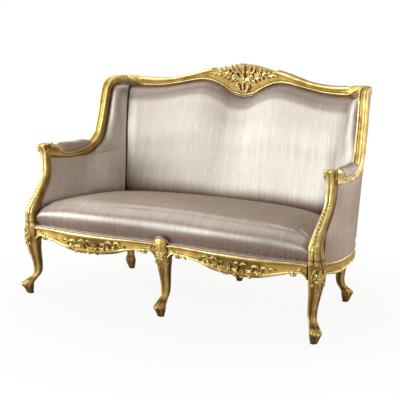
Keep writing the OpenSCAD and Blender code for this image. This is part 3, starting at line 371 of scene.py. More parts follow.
@dataclass(frozen=True)
class Lines:
    """Lines in space on which the frame and the covers meet, from the sizes and tables."""
    s: Sizes = S

    def crest_low(self, x: Array | float) -> Array:
        """Underside of the top rail."""
        return self.s.crest_dip + curve(np.abs(x) / self.s.crest_x, CREST)[..., 1] * self.s.crest_rise

    def crest_top(self, x: Array | float) -> Array:
        """Upper edge of the top rail."""
        return self.s.crest_dip + curve(np.abs(x) / self.s.crest_x, CREST)[..., 0] * self.s.crest_rise

    def apron_front(self, x: Array | float) -> tuple[Array, Array]:
        """Thickness and underside of a front rail at x, plain outside its bay."""
        length = self.s.post_x - self.s.block * 2
        k = np.clip(1 - (np.abs(x) - self.s.block) / length, 0, 1)
        v = curve(k, APRON)
        return self.s.rail_t + v[..., 1] * 18, self.s.rail_low - v[..., 0] * self.s.drop

    def post(self, k: Array) -> tuple[Array, Array]:
        """Middle and half size of an arm post at shares of its height."""
        v = curve(k, POST)
        middle = stack(self.s.post_x + v[..., 0] * self.s.block, self.s.post_y + v[..., 1] * self.s.block,
                       mix(self.s.rail_h, self.s.post_top, k))
        return middle, v[..., 2] * self.s.post

    @property
    def arm_x(self) -> float:
        """Middle of the arm at its front."""
        return self.s.post_x + 0.24 * self.s.block

    def arm_z(self, share: Array | float) -> Array:
        """Height over the posts' top, as a share of the rest of the arm's height."""
        return self.s.post_top + share * (self.s.arm_h - self.s.post_top)

    @property
    def arm_y(self) -> tuple[float, float]:
        """Depth of the arm's front and rear end."""
        return self.s.post_y + 3.4 * self.s.block - self.s.hand * 1.75, self.s.depth * 0.575

    def wing(self, k: Array) -> Array:
        """Middle line of the wing's rail."""
        v = curve(k, WING)
        x0, x1 = self.arm_x - 0.6 * self.s.block, self.s.crest_x + self.s.turn
        return stack(mix(x1, x0, v[..., 2]), mix(self.arm_y[1], self.s.crest_y - self.s.turn, v[..., 0]),
                     mix(self.arm_z(0.08), self.s.shoulder_h - self.s.mould_t * 0.55, v[..., 1]))

    def wing_way(self, k: Array) -> Array:
        """Direction of that line in the YZ plane, level at both ends."""
        k = np.asarray(k, float)
        d = self.wing(np.minimum(k + 0.01, 1)) - self.wing(np.maximum(k - 0.01, 0))
        level = (ease(k, 0, 0.03) * (1 - ease(k, 0.97, 1)))[..., None]
        flat = mix(np.array([1.0, 0.0]), unit(d[..., 1:]), level)
        return unit(flat)

    def side(self, k: Array) -> Array:
        """Middle line of a side rail in plan."""
        v = curve(k, SIDE_PATH)
        y0 = self.s.post_y + self.s.block
        return stack(mix(self.s.post_x, self.s.rear_x + self.s.block, v[..., 0]) + v[..., 1] * 29,
                     mix(y0, self.s.corner_y, v[..., 2]))

    def side_out(self, k: Array) -> Array:
        """Direction square to that line, away from the seat."""
        k = np.asarray(k, float)
        d = unit(self.side(np.minimum(k + 0.01, 1)) - self.side(np.maximum(k - 0.01, 0)))
        ends = mix(np.array([0.0, 1.0]), d, ease(k, 0, 0.04)[..., None])
        ends = unit(mix(ends, np.array([-1.0, 0.0]), ease(k, 0.94, 1)[..., None]))
        return stack(ends[..., 1], -ends[..., 0])

    def corner_top(self) -> float:
        """Top of the covers at the shoulders."""
        return float(self.crest_low(self.s.crest_x)) - 0.9

    def seam(self, h: Array) -> Array:
        """Seam between the inside back and the sides, from the seat to the shoulder."""
        v = curve(h, SEAM)
        return stack(v[..., 0] * self.s.rear_x, v[..., 1] * self.s.depth,
                     mix(self.s.pad_low, self.corner_top(), h))

    def front_edge(self, x: Array) -> Array:
        """Line of the piping on the front rails."""
        return self.s.block - self.apron_front(x)[0] * 0.84


L = Lines()


# Finishes

@dataclass
class Board:
    """A material's node tree, with short calls to add and join nodes."""
    name: str
    material: bpy.types.Material = field(init=False)

    def __post_init__(self) -> None:
        """Makes an empty material with a Principled shader."""
        self.material = bpy.data.materials.new(self.name)
        self.material.use_nodes = True
        self.shader = self.material.node_tree.nodes["Principled BSDF"]

    def node(self, kind: str, **values: object) -> bpy.types.Node:
        """Adds a node and sets its properties by name."""
        made = self.material.node_tree.nodes.new(kind)
        for key, value in values.items():
            setattr(made, key, value)
        return made

    def link(self, source: Socket, target: Socket) -> None:
        """Joins two sockets."""
        self.material.node_tree.links.new(source, target)

    def noise(self, where: Socket, scale: Triple, detail: float = 3, rough: float = 0.5) -> Socket:
        """Noise stretched along each axis: plain noise, read at scale times the point."""
        mapping = self.node("ShaderNodeMapping")
        mapping.inputs["Scale"].default_value = scale
        self.link(where, mapping.inputs["Vector"])
        made = self.node("ShaderNodeTexNoise")
        made.inputs["Scale"].default_value = 1.0
        made.inputs["Detail"].default_value = detail
        made.inputs["Roughness"].default_value = rough
        self.link(mapping.outputs["Vector"], made.inputs["Vector"])
        return made.outputs["Fac"]

    def ramp(self, value: Socket, *stops: tuple[float, Triple]) -> Socket:
        """Colours along a value."""
        made = self.node("ShaderNodeValToRGB")
        line = made.color_ramp.elements
        while len(line) < len(stops):
            line.new(0.5)
        for element, (place, colour) in zip(line, stops):
            element.position = place
            element.color = (*colour, 1)
        self.link(value, made.inputs["Fac"])
        return made.outputs["Color"]

    def scaled(self, value: Socket, low: float, high: float, low_out: float = 0.0,
               high_out: float = 1.0) -> Socket:
        """The value carried from one range to another."""
        made = self.node("ShaderNodeMapRange")
        for key, number in (("From Min", low), ("From Max", high), ("To Min", low_out), ("To Max", high_out)):
            made.inputs[key].default_value = number
        self.link(value, made.inputs["Value"])
        return made.outputs["Result"]

    def blend(self, amount: Socket | float, a: Socket, b: Socket | tuple, way: str = "MIX") -> Socket:
        """Mixes colour b over colour a."""
        made = self.node("ShaderNodeMix", data_type="RGBA", blend_type=way)
        for value, socket in ((amount, made.inputs[0]), (a, made.inputs[6]), (b, made.inputs[7])):
            if isinstance(value, Socket):
                self.link(value, socket)
            else:
                socket.default_value = (*value, 1) if isinstance(value, tuple) else value
        return made.outputs[2]

    def math(self, way: str, a: Socket | float, b: Socket | float) -> Socket:
        """One sum of two values."""
        made = self.node("ShaderNodeMath", operation=way)
        for value, socket in ((a, made.inputs[0]), (b, made.inputs[1])):
            if isinstance(value, Socket):
                self.link(value, socket)
            else:
                socket.default_value = value
        return made.outputs[0]

    def total(self, *terms: tuple[Socket, float]) -> Socket:
        """Sum of values, each times its weight."""
        whole, *parts = [value if weight == 1 else self.math("MULTIPLY", value, weight)
                         for value, weight in terms]
        for part in parts:
            whole = self.math("ADD", whole, part)
        return whole

    def raise_by(self, height: Socket, strength: float, distance: float) -> None:
        """Bumps the surface by a height."""
        made = self.node("ShaderNodeBump")
        made.inputs["Strength"].default_value = strength
        made.inputs["Distance"].default_value = distance
        self.link(height, made.inputs["Height"])
        self.link(made.outputs["Normal"], self.shader.inputs["Normal"])


@dataclass(frozen=True)
class GiltFinish:
    """Old gilding: umber glaze in the recesses, warm gold on the faces, paler rubbed edges."""
    name: str = "gilt"
    umber: Triple = (0.085, 0.042, 0.014)
    brown: Triple = (0.22, 0.122, 0.028)
    gold: Triple = (0.47, 0.315, 0.070)
    pale: Triple = (0.90, 0.75, 0.35)
    metal: float = 0.60
    rough: float = 0.40
    patch: float = 14.0
    speck: float = 160.0
    lift: float = 0.35
    depth: float = 0.0012

    def make(self) -> bpy.types.Material:
        """Builds the material: tone plus patchy noise picks the colour along four stops."""
        b = Board(self.name)
        where = b.node("ShaderNodeTexCoord").outputs["Object"]
        tone = b.node("ShaderNodeAttribute", attribute_name="tone").outputs["Fac"]
        patches = b.noise(where, (self.patch,) * 3, 6, 0.62)
        specks = b.noise(where, (self.speck,) * 3, 4, 0.6)
        worn = b.total((tone, 1), (b.scaled(patches, 0.3, 0.7, -0.20, 0.18), 1),
                       (b.scaled(specks, 0.3, 0.7, -0.07, 0.07), 1))
        colour = b.ramp(worn, (0.04, self.umber), (0.30, self.brown), (0.60, self.gold), (1.0, self.pale))
        b.link(colour, b.shader.inputs["Base Color"])
        b.shader.inputs["Metallic"].default_value = self.metal
        b.link(b.scaled(worn, 0.1, 0.9, self.rough + 0.2, self.rough - 0.06), b.shader.inputs["Roughness"])
        b.raise_by(b.total((specks, 1), (patches, 0.6)), self.lift, self.depth)
        return b.material


@dataclass(frozen=True)
class SilkFinish:
    """Slubbed silk: threads along the weave at several widths, a shine that spreads across them, and painted
    shade where the tone is low.
    """
    name: str = "slubbed_silk"
    dark: Triple = (0.15, 0.088, 0.062)
    light: Triple = (0.27, 0.185, 0.135)
    slub: Triple = (0.74, 0.66, 0.55)
    shine: Triple = (1.0, 1.0, 0.93)
    # Painted shade: the colour that the base colour is multiplied by where the tone is low, for the darker
    # bands along the covers' rolls and the seat's front drop.
    shade: Triple = (0.42, 0.24, 0.20)
    index: float = 2.8
    rough: float = 0.52
    across: float = 0.65
    lift: float = 0.35
    depth: float = 0.0011

    def make(self) -> bpy.types.Material:
        """Builds the material: noise along the threads tints and lifts it, and a low tone multiplies painted
        shade into its colour.
        """
        b = Board(self.name)
        where = b.node("ShaderNodeUVMap", uv_map="weave").outputs["UV"]
        threads = b.noise(where, (900, 20, 1), 2, 0.5)
        streaks = b.noise(where, (170, 4, 1), 3, 0.6)
        bands = b.noise(where, (38, 1.6, 1), 3, 0.6)
        slubs = b.noise(where, (420, 15, 1), 2, 0.5)
        tone = b.node("ShaderNodeAttribute", attribute_name="tone").outputs["Fac"]
        mixed = b.total((threads, 0.3), (streaks, 0.4))
        base = b.ramp(b.total((mixed, 1), (bands, 0.3)), (0.36, self.dark), (0.64, self.light))
        colour = b.blend(b.scaled(slubs, 0.64, 0.74, 0.0, 0.7), base, self.slub)
        thin = tuple(0.5 * c for c in self.dark)
        colour = b.blend(b.scaled(slubs, 0.32, 0.26, 0.0, 0.4), colour, thin)
        # Painted shade: as the tone, roughened by the streaks, falls from 0.55 to 0.15, the base colour is
        # multiplied more and more by the shade colour.
        painted_shade_tone = b.math("ADD", tone, b.scaled(streaks, 0.3, 0.7, -0.12, 0.12))
        colour = b.blend(b.scaled(painted_shade_tone, 0.55, 0.15, 0.0, 1.0), colour, self.shade, "MULTIPLY")
        b.link(colour, b.shader.inputs["Base Color"])
        b.shader.inputs["IOR"].default_value = self.index
        b.shader.inputs["Specular Tint"].default_value = (*self.shine, 1)
        b.shader.inputs["Anisotropic"].default_value = self.across
        b.link(b.node("ShaderNodeTangent", direction_type="UV_MAP", uv_map="weave").outputs["Tangent"],
               b.shader.inputs["Tangent"])
        b.link(b.scaled(mixed, 0.25, 0.45, self.rough + 0.03, self.rough - 0.03),
               b.shader.inputs["Roughness"])
        height = b.total((threads, 0.25), (streaks, 1), (bands, 0.9), (slubs, 0.5))
        b.raise_by(height, self.lift, self.depth)
        return b.material


@dataclass(frozen=True)
class PlainFinish:
    """One stuff with a little grain: timber, webbing, lining, steel or the glides' plastic."""
    name: str
    dark: Triple
    light: Triple
    grain: Triple = (30, 30, 3)
    rough: float = 0.7
    metal: float = 0.0
    lift: float = 0.2
    depth: float = 0.0008

    def make(self) -> bpy.types.Material:
        """Builds the material: stretched noise blends two colours and lifts the surface."""
        b = Board(self.name)
        where = b.node("ShaderNodeTexCoord").outputs["Object"]
        grain = b.noise(where, self.grain, 4, 0.6)
        b.link(b.ramp(grain, (0.3, self.dark), (0.7, self.light)), b.shader.inputs["Base Color"])
        b.shader.inputs["Metallic"].default_value = self.metal
        b.link(b.scaled(grain, 0.3, 0.7, self.rough + 0.05, self.rough - 0.05), b.shader.inputs["Roughness"])
        b.raise_by(grain, self.lift, self.depth)
        return b.material


class Stuff(Enum):
    """Each finish with the record's slot that it stands for."""
    GILT = ("gilt_wood", GiltFinish())
    SILK = ("silk", SilkFinish())
    PIPING = ("piping", SilkFinish(name="piping_silk", dark=(0.26, 0.15, 0.15), light=(0.42, 0.29, 0.28),
                                   slub=(0.6, 0.45, 0.43), index=1.9))
    TIMBER = ("frame_wood", PlainFinish("beech", (0.42, 0.27, 0.14), (0.60, 0.43, 0.25), (8, 60, 60)))
    WEB = ("webbing", PlainFinish("jute", (0.40, 0.29, 0.16), (0.62, 0.49, 0.30), (400, 400, 400), 0.9))
    LINING = ("lining", PlainFinish("black_lining", (0.02,) * 3, (0.05,) * 3, (500, 500, 500), 0.9))
    STEEL = ("screw_steel",
             PlainFinish("screw_metal", (0.45, 0.45, 0.44), (0.6, 0.6, 0.58), (60, 60, 60), 0.35, 1.0))
    GLIDE = ("glide",
             PlainFinish("glide_plastic", (0.05, 0.04, 0.035), (0.09, 0.075, 0.06), (200, 200, 200), 0.5))

    @property
    def slot(self) -> str:
        """The record's slot."""
        return self.value[0]

    def material(self) -> bpy.types.Material:
        """The finish's one material, made when it is first asked for."""
        finish = self.value[1]
        return bpy.data.materials.get(finish.name) or finish.make()


def build(name: str, shell: Shell, stuff: Stuff, *nodes: str, flat: float | None = None) -> bpy.types.Object:
    """Turns a form into a piece of the scene that stands for its CAD nodes.

    Args:
        name: The piece's name.
        shell: The form, in millimetres of the drawing.
        stuff: What it is made of.
        nodes: CAD nodes that it replaces.
        flat: Angle in degrees past which an edge is drawn sharp, or none for a wholly smooth piece.

    Returns:
        The piece.
    """
    mesh = bpy.data.meshes.new(name)
    points = S.scene(shell.points)
    mesh.vertices.add(len(points))
    mesh.vertices.foreach_set("co", points.astype(np.float32).ravel())
    count = len(shell.quads)
    mesh.loops.add(count * 4)
    mesh.loops.foreach_set("vertex_index", shell.quads.astype(np.int32).ravel())
    mesh.polygons.add(count)
    mesh.polygons.foreach_set("loop_start", np.arange(0, count * 4, 4, dtype=np.int32))
    mesh.update(calc_edges=True)
    mesh.validate()
    mesh.attributes.new("tone", "FLOAT", "POINT").data.foreach_set("value", shell.tone.astype(np.float32))
    index = np.zeros(len(mesh.loops), np.int32)
    mesh.loops.foreach_get("vertex_index", index)
    mesh.uv_layers.new(name="weave").data.foreach_set("uv", shell.weave[index].astype(np.float32).ravel())
    mesh.shade_smooth()
    if flat is not None:
        mesh.set_sharp_from_angle(angle=np.radians(flat))
    mesh.materials.append(stuff.material())
    piece = bpy.data.objects.new(name, mesh)
    bpy.context.scene.collection.objects.link(piece)
    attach(piece, "root")
    stuff.slot
    if nodes:
        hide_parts(*nodes)
    log.info("%s: %d points, %d faces", name, len(points), count)
    return piece


def pair(name: str, shell: Shell, stuff: Stuff, *nodes: str,
         flat: float | None = None) -> list[bpy.types.Object]:
    """Builds a form on both sides; "*" in a name stands for the side's word.

    Args:
        name: Name of the two pieces.
        shell: The form, which is mirrored for the other side.
        stuff: What it is made of.
        nodes: CAD nodes that each piece replaces.
        flat: Angle in degrees past which an edge is drawn sharp, or none for wholly smooth pieces.

    Returns:
        The two pieces.
    """
    return [build(name.replace("*", side.word), shell.on(side), stuff,
                  *(node.replace("*", side.word) for node in nodes), flat=flat) for side in Side]


def settle(piece: bpy.types.Object, held: Array, cap: float, pressure: float = 4.0, frames: int = 14) -> None:
    """Lets a padded cover settle as cloth that is filled from inside, then rounds it once.

    A point that the cloth moves by d ends at cap times tanh(|d| / cap) from its start, the same way.

    Args:
        piece: The cover, at its place.
        held: Which of its points are tacked down.
        cap: Longest way a point can move, in millimetres.
        pressure: Pressure from inside.
        frames: Number of steps.
    """
    limit = cap / 1000
    count = len(piece.data.vertices)
    start, end = np.zeros((2, count * 3), np.float32)
    piece.data.vertices.foreach_get("co", start)
    group = piece.vertex_groups.new(name="held")
    group.add(np.flatnonzero(held).tolist(), 1.0, "REPLACE")
    cloth = piece.modifiers.new("cloth", "CLOTH")
    cloth.settings.quality = 5
    cloth.settings.use_pressure = True
    cloth.settings.uniform_pressure_force = pressure
    cloth.settings.effector_weights.gravity = 0
    cloth.settings.vertex_group_mass = "held"
    cloth.collision_settings.use_collision = False
    for number in range(1, frames + 1):
        bpy.context.scene.frame_set(number)
    piece.evaluated_get(bpy.context.evaluated_depsgraph_get()).data.vertices.foreach_get("co", end)
    piece.modifiers.remove(cloth)
    piece.vertex_groups.remove(group)
    bpy.context.scene.frame_set(1)
    moved = (end - start).reshape(-1, 3)
    far = np.linalg.norm(moved, axis=1, keepdims=True)
    moved = moved * np.tanh(far / limit) * limit / np.maximum(far, 1e-9)
    piece.data.vertices.foreach_set("co", (start + moved.ravel()).astype(np.float32))
    piece.data.update()
    smooth = piece.modifiers.new("smooth", "SUBSURF")
    smooth.levels = smooth.render_levels = 1
    log.info("%s: settled, by %.1f mm at most before the cap", piece.name, float(far.max()) * 1000)


def smooth_ring(rows: int, per: int) -> Array:
    """Weights that carry a closed ring of control points to a finer smooth one.

    Each stretch between two control points is the cubic whose slope at either is that of half
    the chord between its neighbours, so a ring of points times this table is the smooth ring.

    Args:
        rows: Number of control points.
        per: Points for each stretch.

    Returns:
        A table with shape (rows times per, rows).
    """
    weights = np.zeros((rows * per, rows))
    t = np.arange(per) / per
    terms = np.stack([-t / 2 + t ** 2 - t ** 3 / 2, 1 - 2.5 * t ** 2 + 1.5 * t ** 3,
                      t / 2 + 2 * t ** 2 - 1.5 * t ** 3, -t ** 2 / 2 + t ** 3 / 2], -1)
    for i in range(rows):
        for k in range(4):
            np.add.at(weights, (np.arange(i * per, (i + 1) * per), (i + k - 1) % rows), terms[:, k])
    return weights


# Carving

# How far a leaf reaches into the wood under it
SUNK = 2.0


@dataclass(frozen=True)
class Leaf:
    """A carved leaf on a flat design plane: root, tip, how far it bends to its left, and its sizes."""
    root: tuple[float, float]
    tip: tuple[float, float]
    bend: float = 0.2
    width: float = 9.0
    rise: float = 6.0
    lobes: int = 3
    curl: float = 0.5

    def shape(self) -> tuple[Array, Array]:
        """Worked out on the plane.

        The midrib is a parabola bowed to one side. The half width swells and ends in a point, and
        is notched once for each lobe. The height is a half round with a groove along the midrib,
        and rises to the curled tip.

        Returns:
            Rings of points (u, v, height), and their tone.
        """
        a = np.linspace(0, 1, 8 * self.lobes + 3)[:, None]
        b = np.linspace(-1, 1, 9)[None, :]
        out = np.abs(b)
        root, tip = np.array(self.root), np.array(self.tip)
        way = tip - root
        square = np.array([-way[1], way[0]])
        line = root + way * a + square * self.bend * (4 * a * (1 - a))
        along = unit(way + square * self.bend * 4 * (1 - 2 * a))
        across = np.stack([-along[:, 1], along[:, 0]], -1)
        swell = np.sin(np.pi * a ** 0.8) ** 0.65 * (1 - 0.28 * a)
        lobe = 0.5 + 0.5 * np.cos(2 * np.pi * (self.lobes * a - 0.5 * out))
        half = self.width / 2 * np.maximum(swell, 0.03) * (1 - 0.34 * out ** 2 * lobe * ease(a, 0.1, 0.3))
        swept = self.width * 0.16 * out ** 1.5 * ease(a, 0.1, 0.5)
        place = line[:, None] + across[:, None] * (half * b)[..., None] - along[:, None] * swept[..., None]
        dome = np.sqrt(np.maximum(1 - out ** 2.2, 0))
        groove = 0.30 * bump(b, 0, 0.16)
        veins = 0.10 * np.sin(2 * np.pi * (self.lobes * a - 0.7 * out)) * out
        lift = 0.34 + 0.66 * np.sin(np.pi * a ** 0.9 / 2) ** 2 * self.curl + 0.30 * (1 - self.curl)
        height = self.rise * lift * (dome - groove + veins * ease(a, 0.05, 0.3))
        tone = 0.22 + 0.75 * np.clip(dome - groove * 1.6 + veins, 0, 1) * (0.6 + 0.4 * a)
        top = np.concatenate([place, height[..., None]], -1)
        low = np.concatenate([place, np.full((*place.shape[:2], 1), -SUNK)], -1)
        rings = np.concatenate([top, low[:, ::-1]], 1)
        tones = np.concatenate([tone, np.full_like(tone, 0.1)[:, ::-1]], 1)
        return rings, tones


@dataclass(frozen=True)
class Scroll:
    """A carved C-scroll: a rounded stem that winds in to an eye."""
    eye: tuple[float, float]
    radius: float = 9.0
    turns: float = 1.3
    start: float = 0.0
    hand: int = 1
    thick: float = 3.4
    rise: float = 5.0
    tail: float = 0.0

    def shape(self) -> tuple[Array, Array]:
        """Worked out on the plane.

        The line is a spiral whose radius shrinks evenly with the angle, with an open tail that
        runs off straight before it. The stem is an ellipse that thins towards the tail and ends
        in a ball at the eye.
        """
        t = np.linspace(-self.tail, 1, int(18 * self.turns) + int(14 * self.tail) + 4)
        wound = np.clip(t, 0, 1)
        angle = self.start + self.hand * 2 * np.pi * self.turns * wound
        r = self.radius * (1 - 0.80 * wound ** 0.8)
        line = np.array(self.eye) + np.stack([np.cos(angle), np.sin(angle)], -1) * r[:, None]
        away = -self.hand * np.array([-np.sin(self.start), np.cos(self.start)])
        line = line + away * np.maximum(-t, 0)[:, None] * self.radius * 2.2
        along = unit(np.gradient(line, axis=0))
        across = np.stack([-along[:, 1], along[:, 0]], -1)
        size = self.thick * (0.62 + 0.5 * wound) * ease(t, -self.tail - 0.02, -self.tail + 0.25) \
            * (1 + 0.7 * bump(t, 0.97, 0.06)) * np.sqrt(np.clip((1.02 - t) / 0.05, 0, 1))
        size = np.maximum(size, 0.25)
        a = np.linspace(0, 2 * np.pi, 12, endpoint=False)
        side = np.cos(a)[None, :] * size[:, None]
        up = np.sin(a)[None, :] * size[:, None] * self.rise / self.thick
        place = line[:, None, :] + across[:, None, :] * side[..., None]
        height = self.rise * 0.30 + up * (0.75 + 0.45 * wound[:, None])
        rings = np.concatenate([place, height[..., None]], -1)
        tone = 0.2 + 0.75 * np.clip(np.sin(a), 0, 1)[None, :] + 0 * size[:, None]
        return rings, tone


@dataclass(frozen=True)
class Berry:
    """A carved bead, a squashed ball."""
    middle: tuple[float, float]
    radius: float = 3.0
    rise: float = 4.0

    def shape(self) -> tuple[Array, Array]:
        """Worked out on the plane: rings of a ball from its base to its top."""
        a = np.linspace(-0.5, 1, 7)[:, None] * np.pi / 2
        b = np.linspace(0, 2 * np.pi, 10, endpoint=False)[None, :]
        r = np.maximum(np.cos(a), 0.02) * self.radius
        u, v = self.middle
        rings = stack(u + r * np.cos(b), v + r * np.sin(b), np.sin(a) * self.rise)
        tone = 0.25 + 0.7 * np.clip(np.sin(a), 0, 1) + 0 * b
        return rings, tone


def flower(u: float, v: float, radius: float, rise: float = 6.0, petals: int = 6) -> list:
    """A rosette: petals as short leaves round a bead."""
    made: list = []
    for a in np.arange(petals) * 2 * np.pi / petals + 0.3:
        du, dv = np.cos(a) * radius, np.sin(a) * radius
        made.append(Leaf((u + du * 0.2, v + dv * 0.2), (u + du, v + dv), 0.1, radius * 0.95, rise, 1, 0.9))
    return made + [Berry((u, v), radius * 0.28, rise * 1.1)]


def mirrored(design: list) -> list:
    """The design and its mirror image across the line u = 0."""
    made = list(design)
    for d in design:
        if isinstance(d, Leaf):
            made.append(replace(d, root=(-d.root[0], d.root[1]), tip=(-d.tip[0], d.tip[1]), bend=-d.bend))
        elif isinstance(d, Scroll):
            made.append(replace(d, eye=(-d.eye[0], d.eye[1]), start=np.pi - d.start, hand=-d.hand))
        else:
            made.append(replace(d, middle=(-d.middle[0], d.middle[1])))
    return made


def carve(design: list, onto: Callable[[Array, Array, Array], Array], bright: float = 1.0) -> Shell:
    """Lays a design on a surface.

    Args:
        design: Leaves, scrolls and berries on the flat design plane.
        onto: Takes arrays u, v and height, and gives points on and over the surface.
        bright: What their tone is multiplied by.

    Returns:
        All of them as one form.
    """
    shapes = [element.shape() for element in design]
    return Shell.join([Shell.loft(onto(*np.moveaxis(rings, -1, 0)), tone * bright) for rings, tone in shapes])


# Gilt frame

# Moulding of the top rail: [forward share, edge (-1 outer, 1 inner), mm in from that edge, tone]
MOULD = table(
    (-1.0, 1, 0, 0.5), (-1.0, -1, 0, 0.5), (0.0, -1, 0.0, 0.6), (0.50, -1, 0.3, 0.75), (0.80, -1, 1.6, 0.9),
    (0.97, -1, 4.6, 0.85), (1.00, -1, 8.0, 0.75), (0.97, -1, 11.5, 0.70), (0.90, -1, 14.6, 0.6),
    (0.80, -1, 17.0, 0.45), (0.76, 1, 18.2, 0.42), (0.74, 1, 14.6, 0.5), (0.70, 1, 11.4, 0.5),
    (0.60, 1, 9.6, 0.25), (0.80, 1, 8.2, 0.75), (0.94, 1, 5.8, 1.0), (0.90, 1, 3.0, 0.95),
    (0.68, 1, 1.1, 0.7), (0.30, 1, 0.2, 0.45))


@dataclass
class TopRail:
    """The moulded rail that rises from the arms, turns at the shoulders and crosses the crest."""
    steps: int = 110
    crest_steps: int = 240
    twist: float = 70.0
    plain: float = 0.9
    carved_half: float = 172.0
    carved_drop: float = 11.0

    def ring(self, middle: Array, face: Array, inner: Array, half_face: Array, half_width: Array,
             plain: Array) -> tuple[Array, Array]:
        """The moulding round given points.

        A control point stands at the middle, plus the face direction times its forward share of
        the half thickness, plus the inner direction times the half width less its distance in
        from that edge. A smooth closed curve joins them. Where plain is 1 each point is pushed
        out to the superellipse |f|^3 + |a|^3 = 1 of the same half sizes.

        Args:
            middle: Middle of each ring.
            face: Direction of its face.
            inner: Direction of its inner edge.
            half_face: Half thickness.
            half_width: Half width.
            plain: 0 for the moulding, 1 for a plain rounded rail.

        Returns:
            The rings' points, and their tone.
        """
        weights = smooth_ring(len(MOULD), 4)
        half = half_width[:, None]
        across = MOULD[:, 1] * (half - MOULD[:, 2] * np.minimum(1, half * 0.98 / 18.5))
        share = across / half
        out = mix(1, (np.abs(MOULD[:, 0]) ** 3 + np.abs(share) ** 3) ** (-1 / 3), plain[:, None])
        across, forward = across * out, MOULD[:, 0] * half_face[:, None] * out
        rows = middle[:, None] + face[:, None] * forward[..., None] + inner[:, None] * across[..., None]
        rings = np.einsum("pc,mcx->mpx", weights, rows)
        return rings, mix((weights @ MOULD[:, 3])[None, :], 0.62, plain[:, None])

    def wing(self) -> Shell:
        """One wing with its shoulder: up the wing's line, then a quarter turn in plan."""
        k = np.linspace(0, 1, self.steps)
        way = L.wing_way(k)
        face = stack(0 * k, -way[:, 1], way[:, 0])
        inner = np.broadcast_to([-1.0, 0, 0], face.shape)
        middle, thick = L.wing(k), S.mould_t * curve(k, WING_THICK)
        a = np.linspace(0, np.pi / 2, 22)[1:]
        hub = np.array([S.crest_x, S.crest_y - S.turn, middle[-1, 2]])
        out = stack(np.cos(a), np.sin(a), 0 * a)
        middle = np.concatenate([middle, hub + out * S.turn])
        face = np.concatenate([face, np.broadcast_to([0, 0, 1.0], out.shape)])
        inner = np.concatenate([inner, -out])
        thick = np.concatenate([thick, np.full(len(a), S.mould_t * 1.1)])
        plain = self.plain * ease(np.arange(len(middle)), self.steps * 0.86, self.steps)
        rings, tone = self.ring(middle, face, inner, thick / 2, np.full(len(middle), S.mould_w / 2), plain)
        return Shell.loft(rings, tone)

    def crest(self) -> Shell:
        """The top rail: its face turns from upward at the shoulders to forward along the back."""
        x = np.linspace(-S.crest_x, S.crest_x, self.crest_steps)
        away = S.crest_x - np.abs(x)
        low = L.crest_low(x)
        top = L.crest_top(x) - self.carved_drop * ease(self.carved_half - np.abs(x), 0, 26)
        turn = (1 - ease(away, 0, self.twist)) * np.pi / 2
        face = stack(0 * x, -np.cos(turn), np.sin(turn))
        inner = stack(0 * x, -np.sin(turn), -np.cos(turn))
        middle = stack(x, S.crest_y + S.bow_at(x), (low + top) / 2)
        level = mix(low, top, 0.5) - (S.shoulder_h - S.mould_t * 0.55)
        middle[:, 2] -= level * (1 - ease(away, 0, 30))
        half = mix((top - low) / 2, S.mould_w / 2, 1 - ease(away, 0, self.twist))
        plain = self.plain * (1 - ease(away, 30, 100))
        rings, tone = self.ring(middle, face, inner, np.full(len(x), S.mould_w / 2 * 0.98), half, plain)
        px, pz = rings[..., 0], rings[..., 2]
        sunk = ease(self.carved_half + 6 - np.abs(px), 0, 16)
        sunk *= ease(pz - L.crest_low(px), 9, 16 + 0.05 * np.abs(px))
        sunk *= ease(pz - (S.crest_dip - 58 + 0.30 * np.abs(px)), 0, 12)
        sunk *= rings[..., 1] < middle[:, None, 1]
        return Shell.loft(rings, tone * (1 - 0.7 * sunk) + 0.26 * sunk)

    def ornament(self) -> Shell:
        """Acanthus over the middle of the crest, in a plane where v = 0 is the point of the dip."""
        design = mirrored([
            Leaf((3, 14), (20, 52), -0.25, 17, 10, 3, 0.7), Scroll((25, 42), 9, 1.2, 0.6, -1, 4.2, 9, 0.7),
            Leaf((5, 52), (12, 92), 0.2, 17, 13, 4, 0.7), Leaf((8, 60), (40, 66), 0.35, 17, 11, 3, 0.8),
            Leaf((8, 78), (34, 104), -0.3, 19, 13, 4, 0.8), Scroll((44, 84), 13, 1.3, 2.2, -1, 5, 11, 0.8),
            Leaf((4, 100), (14, 149), 0.16, 19, 14, 4, 1.0),
            Leaf((14, 104), (36, 146), -0.2, 19, 13, 4, 1.0),
            Leaf((30, 104), (60, 142), -0.25, 19, 13, 4, 1.0),
            Leaf((34, 64), (66, 60), 0.35, 16, 10, 3, 0.8), Leaf((50, 74), (84, 70), 0.3, 17, 11, 3, 0.8),
            Leaf((56, 92), (72, 122), -0.3, 18, 12, 4, 0.9),
            Scroll((84, 96), 13, 1.25, -2.4, 1, 4.8, 10, 0.8),
            Leaf((70, 108), (92, 135), -0.25, 18, 12, 3, 1.0),
            Leaf((72, 80), (104, 78), 0.3, 16, 10, 3, 0.8),
            Leaf((92, 104), (118, 127), -0.22, 17, 11, 3, 1.0),
            Leaf((96, 88), (128, 84), 0.3, 15, 9, 3, 0.8), Scroll((118, 98), 11, 1.2, 2.4, -1, 4.4, 9, 0.8),
            Leaf((114, 104), (142, 119), -0.2, 15, 10, 3, 0.9),
            Leaf((124, 90), (154, 88), 0.25, 13, 8, 3, 0.8),
            Leaf((132, 102), (164, 108), -0.2, 14, 9, 3, 0.9),
            Leaf((140, 96), (176, 97), 0.12, 13, 7, 3, 0.8), Berry((62, 104), 4.5, 11),
            Berry((30, 88), 4.5, 12), Berry((104, 92), 4, 9), Berry((16, 34), 4, 9)])
        design += [Leaf((0, 8), (0, 56), 0.0, 20, 13, 3, 0.6), Leaf((0, 54), (0, 104), 0.0, 20, 15, 4, 0.7),
                   Leaf((0, 98), (0, 150), 0.0, 20, 15, 4, 1.0), Berry((0, 96), 6, 15), Berry((0, 52), 5, 12)]
        floor = float(L.crest_low(0.0))

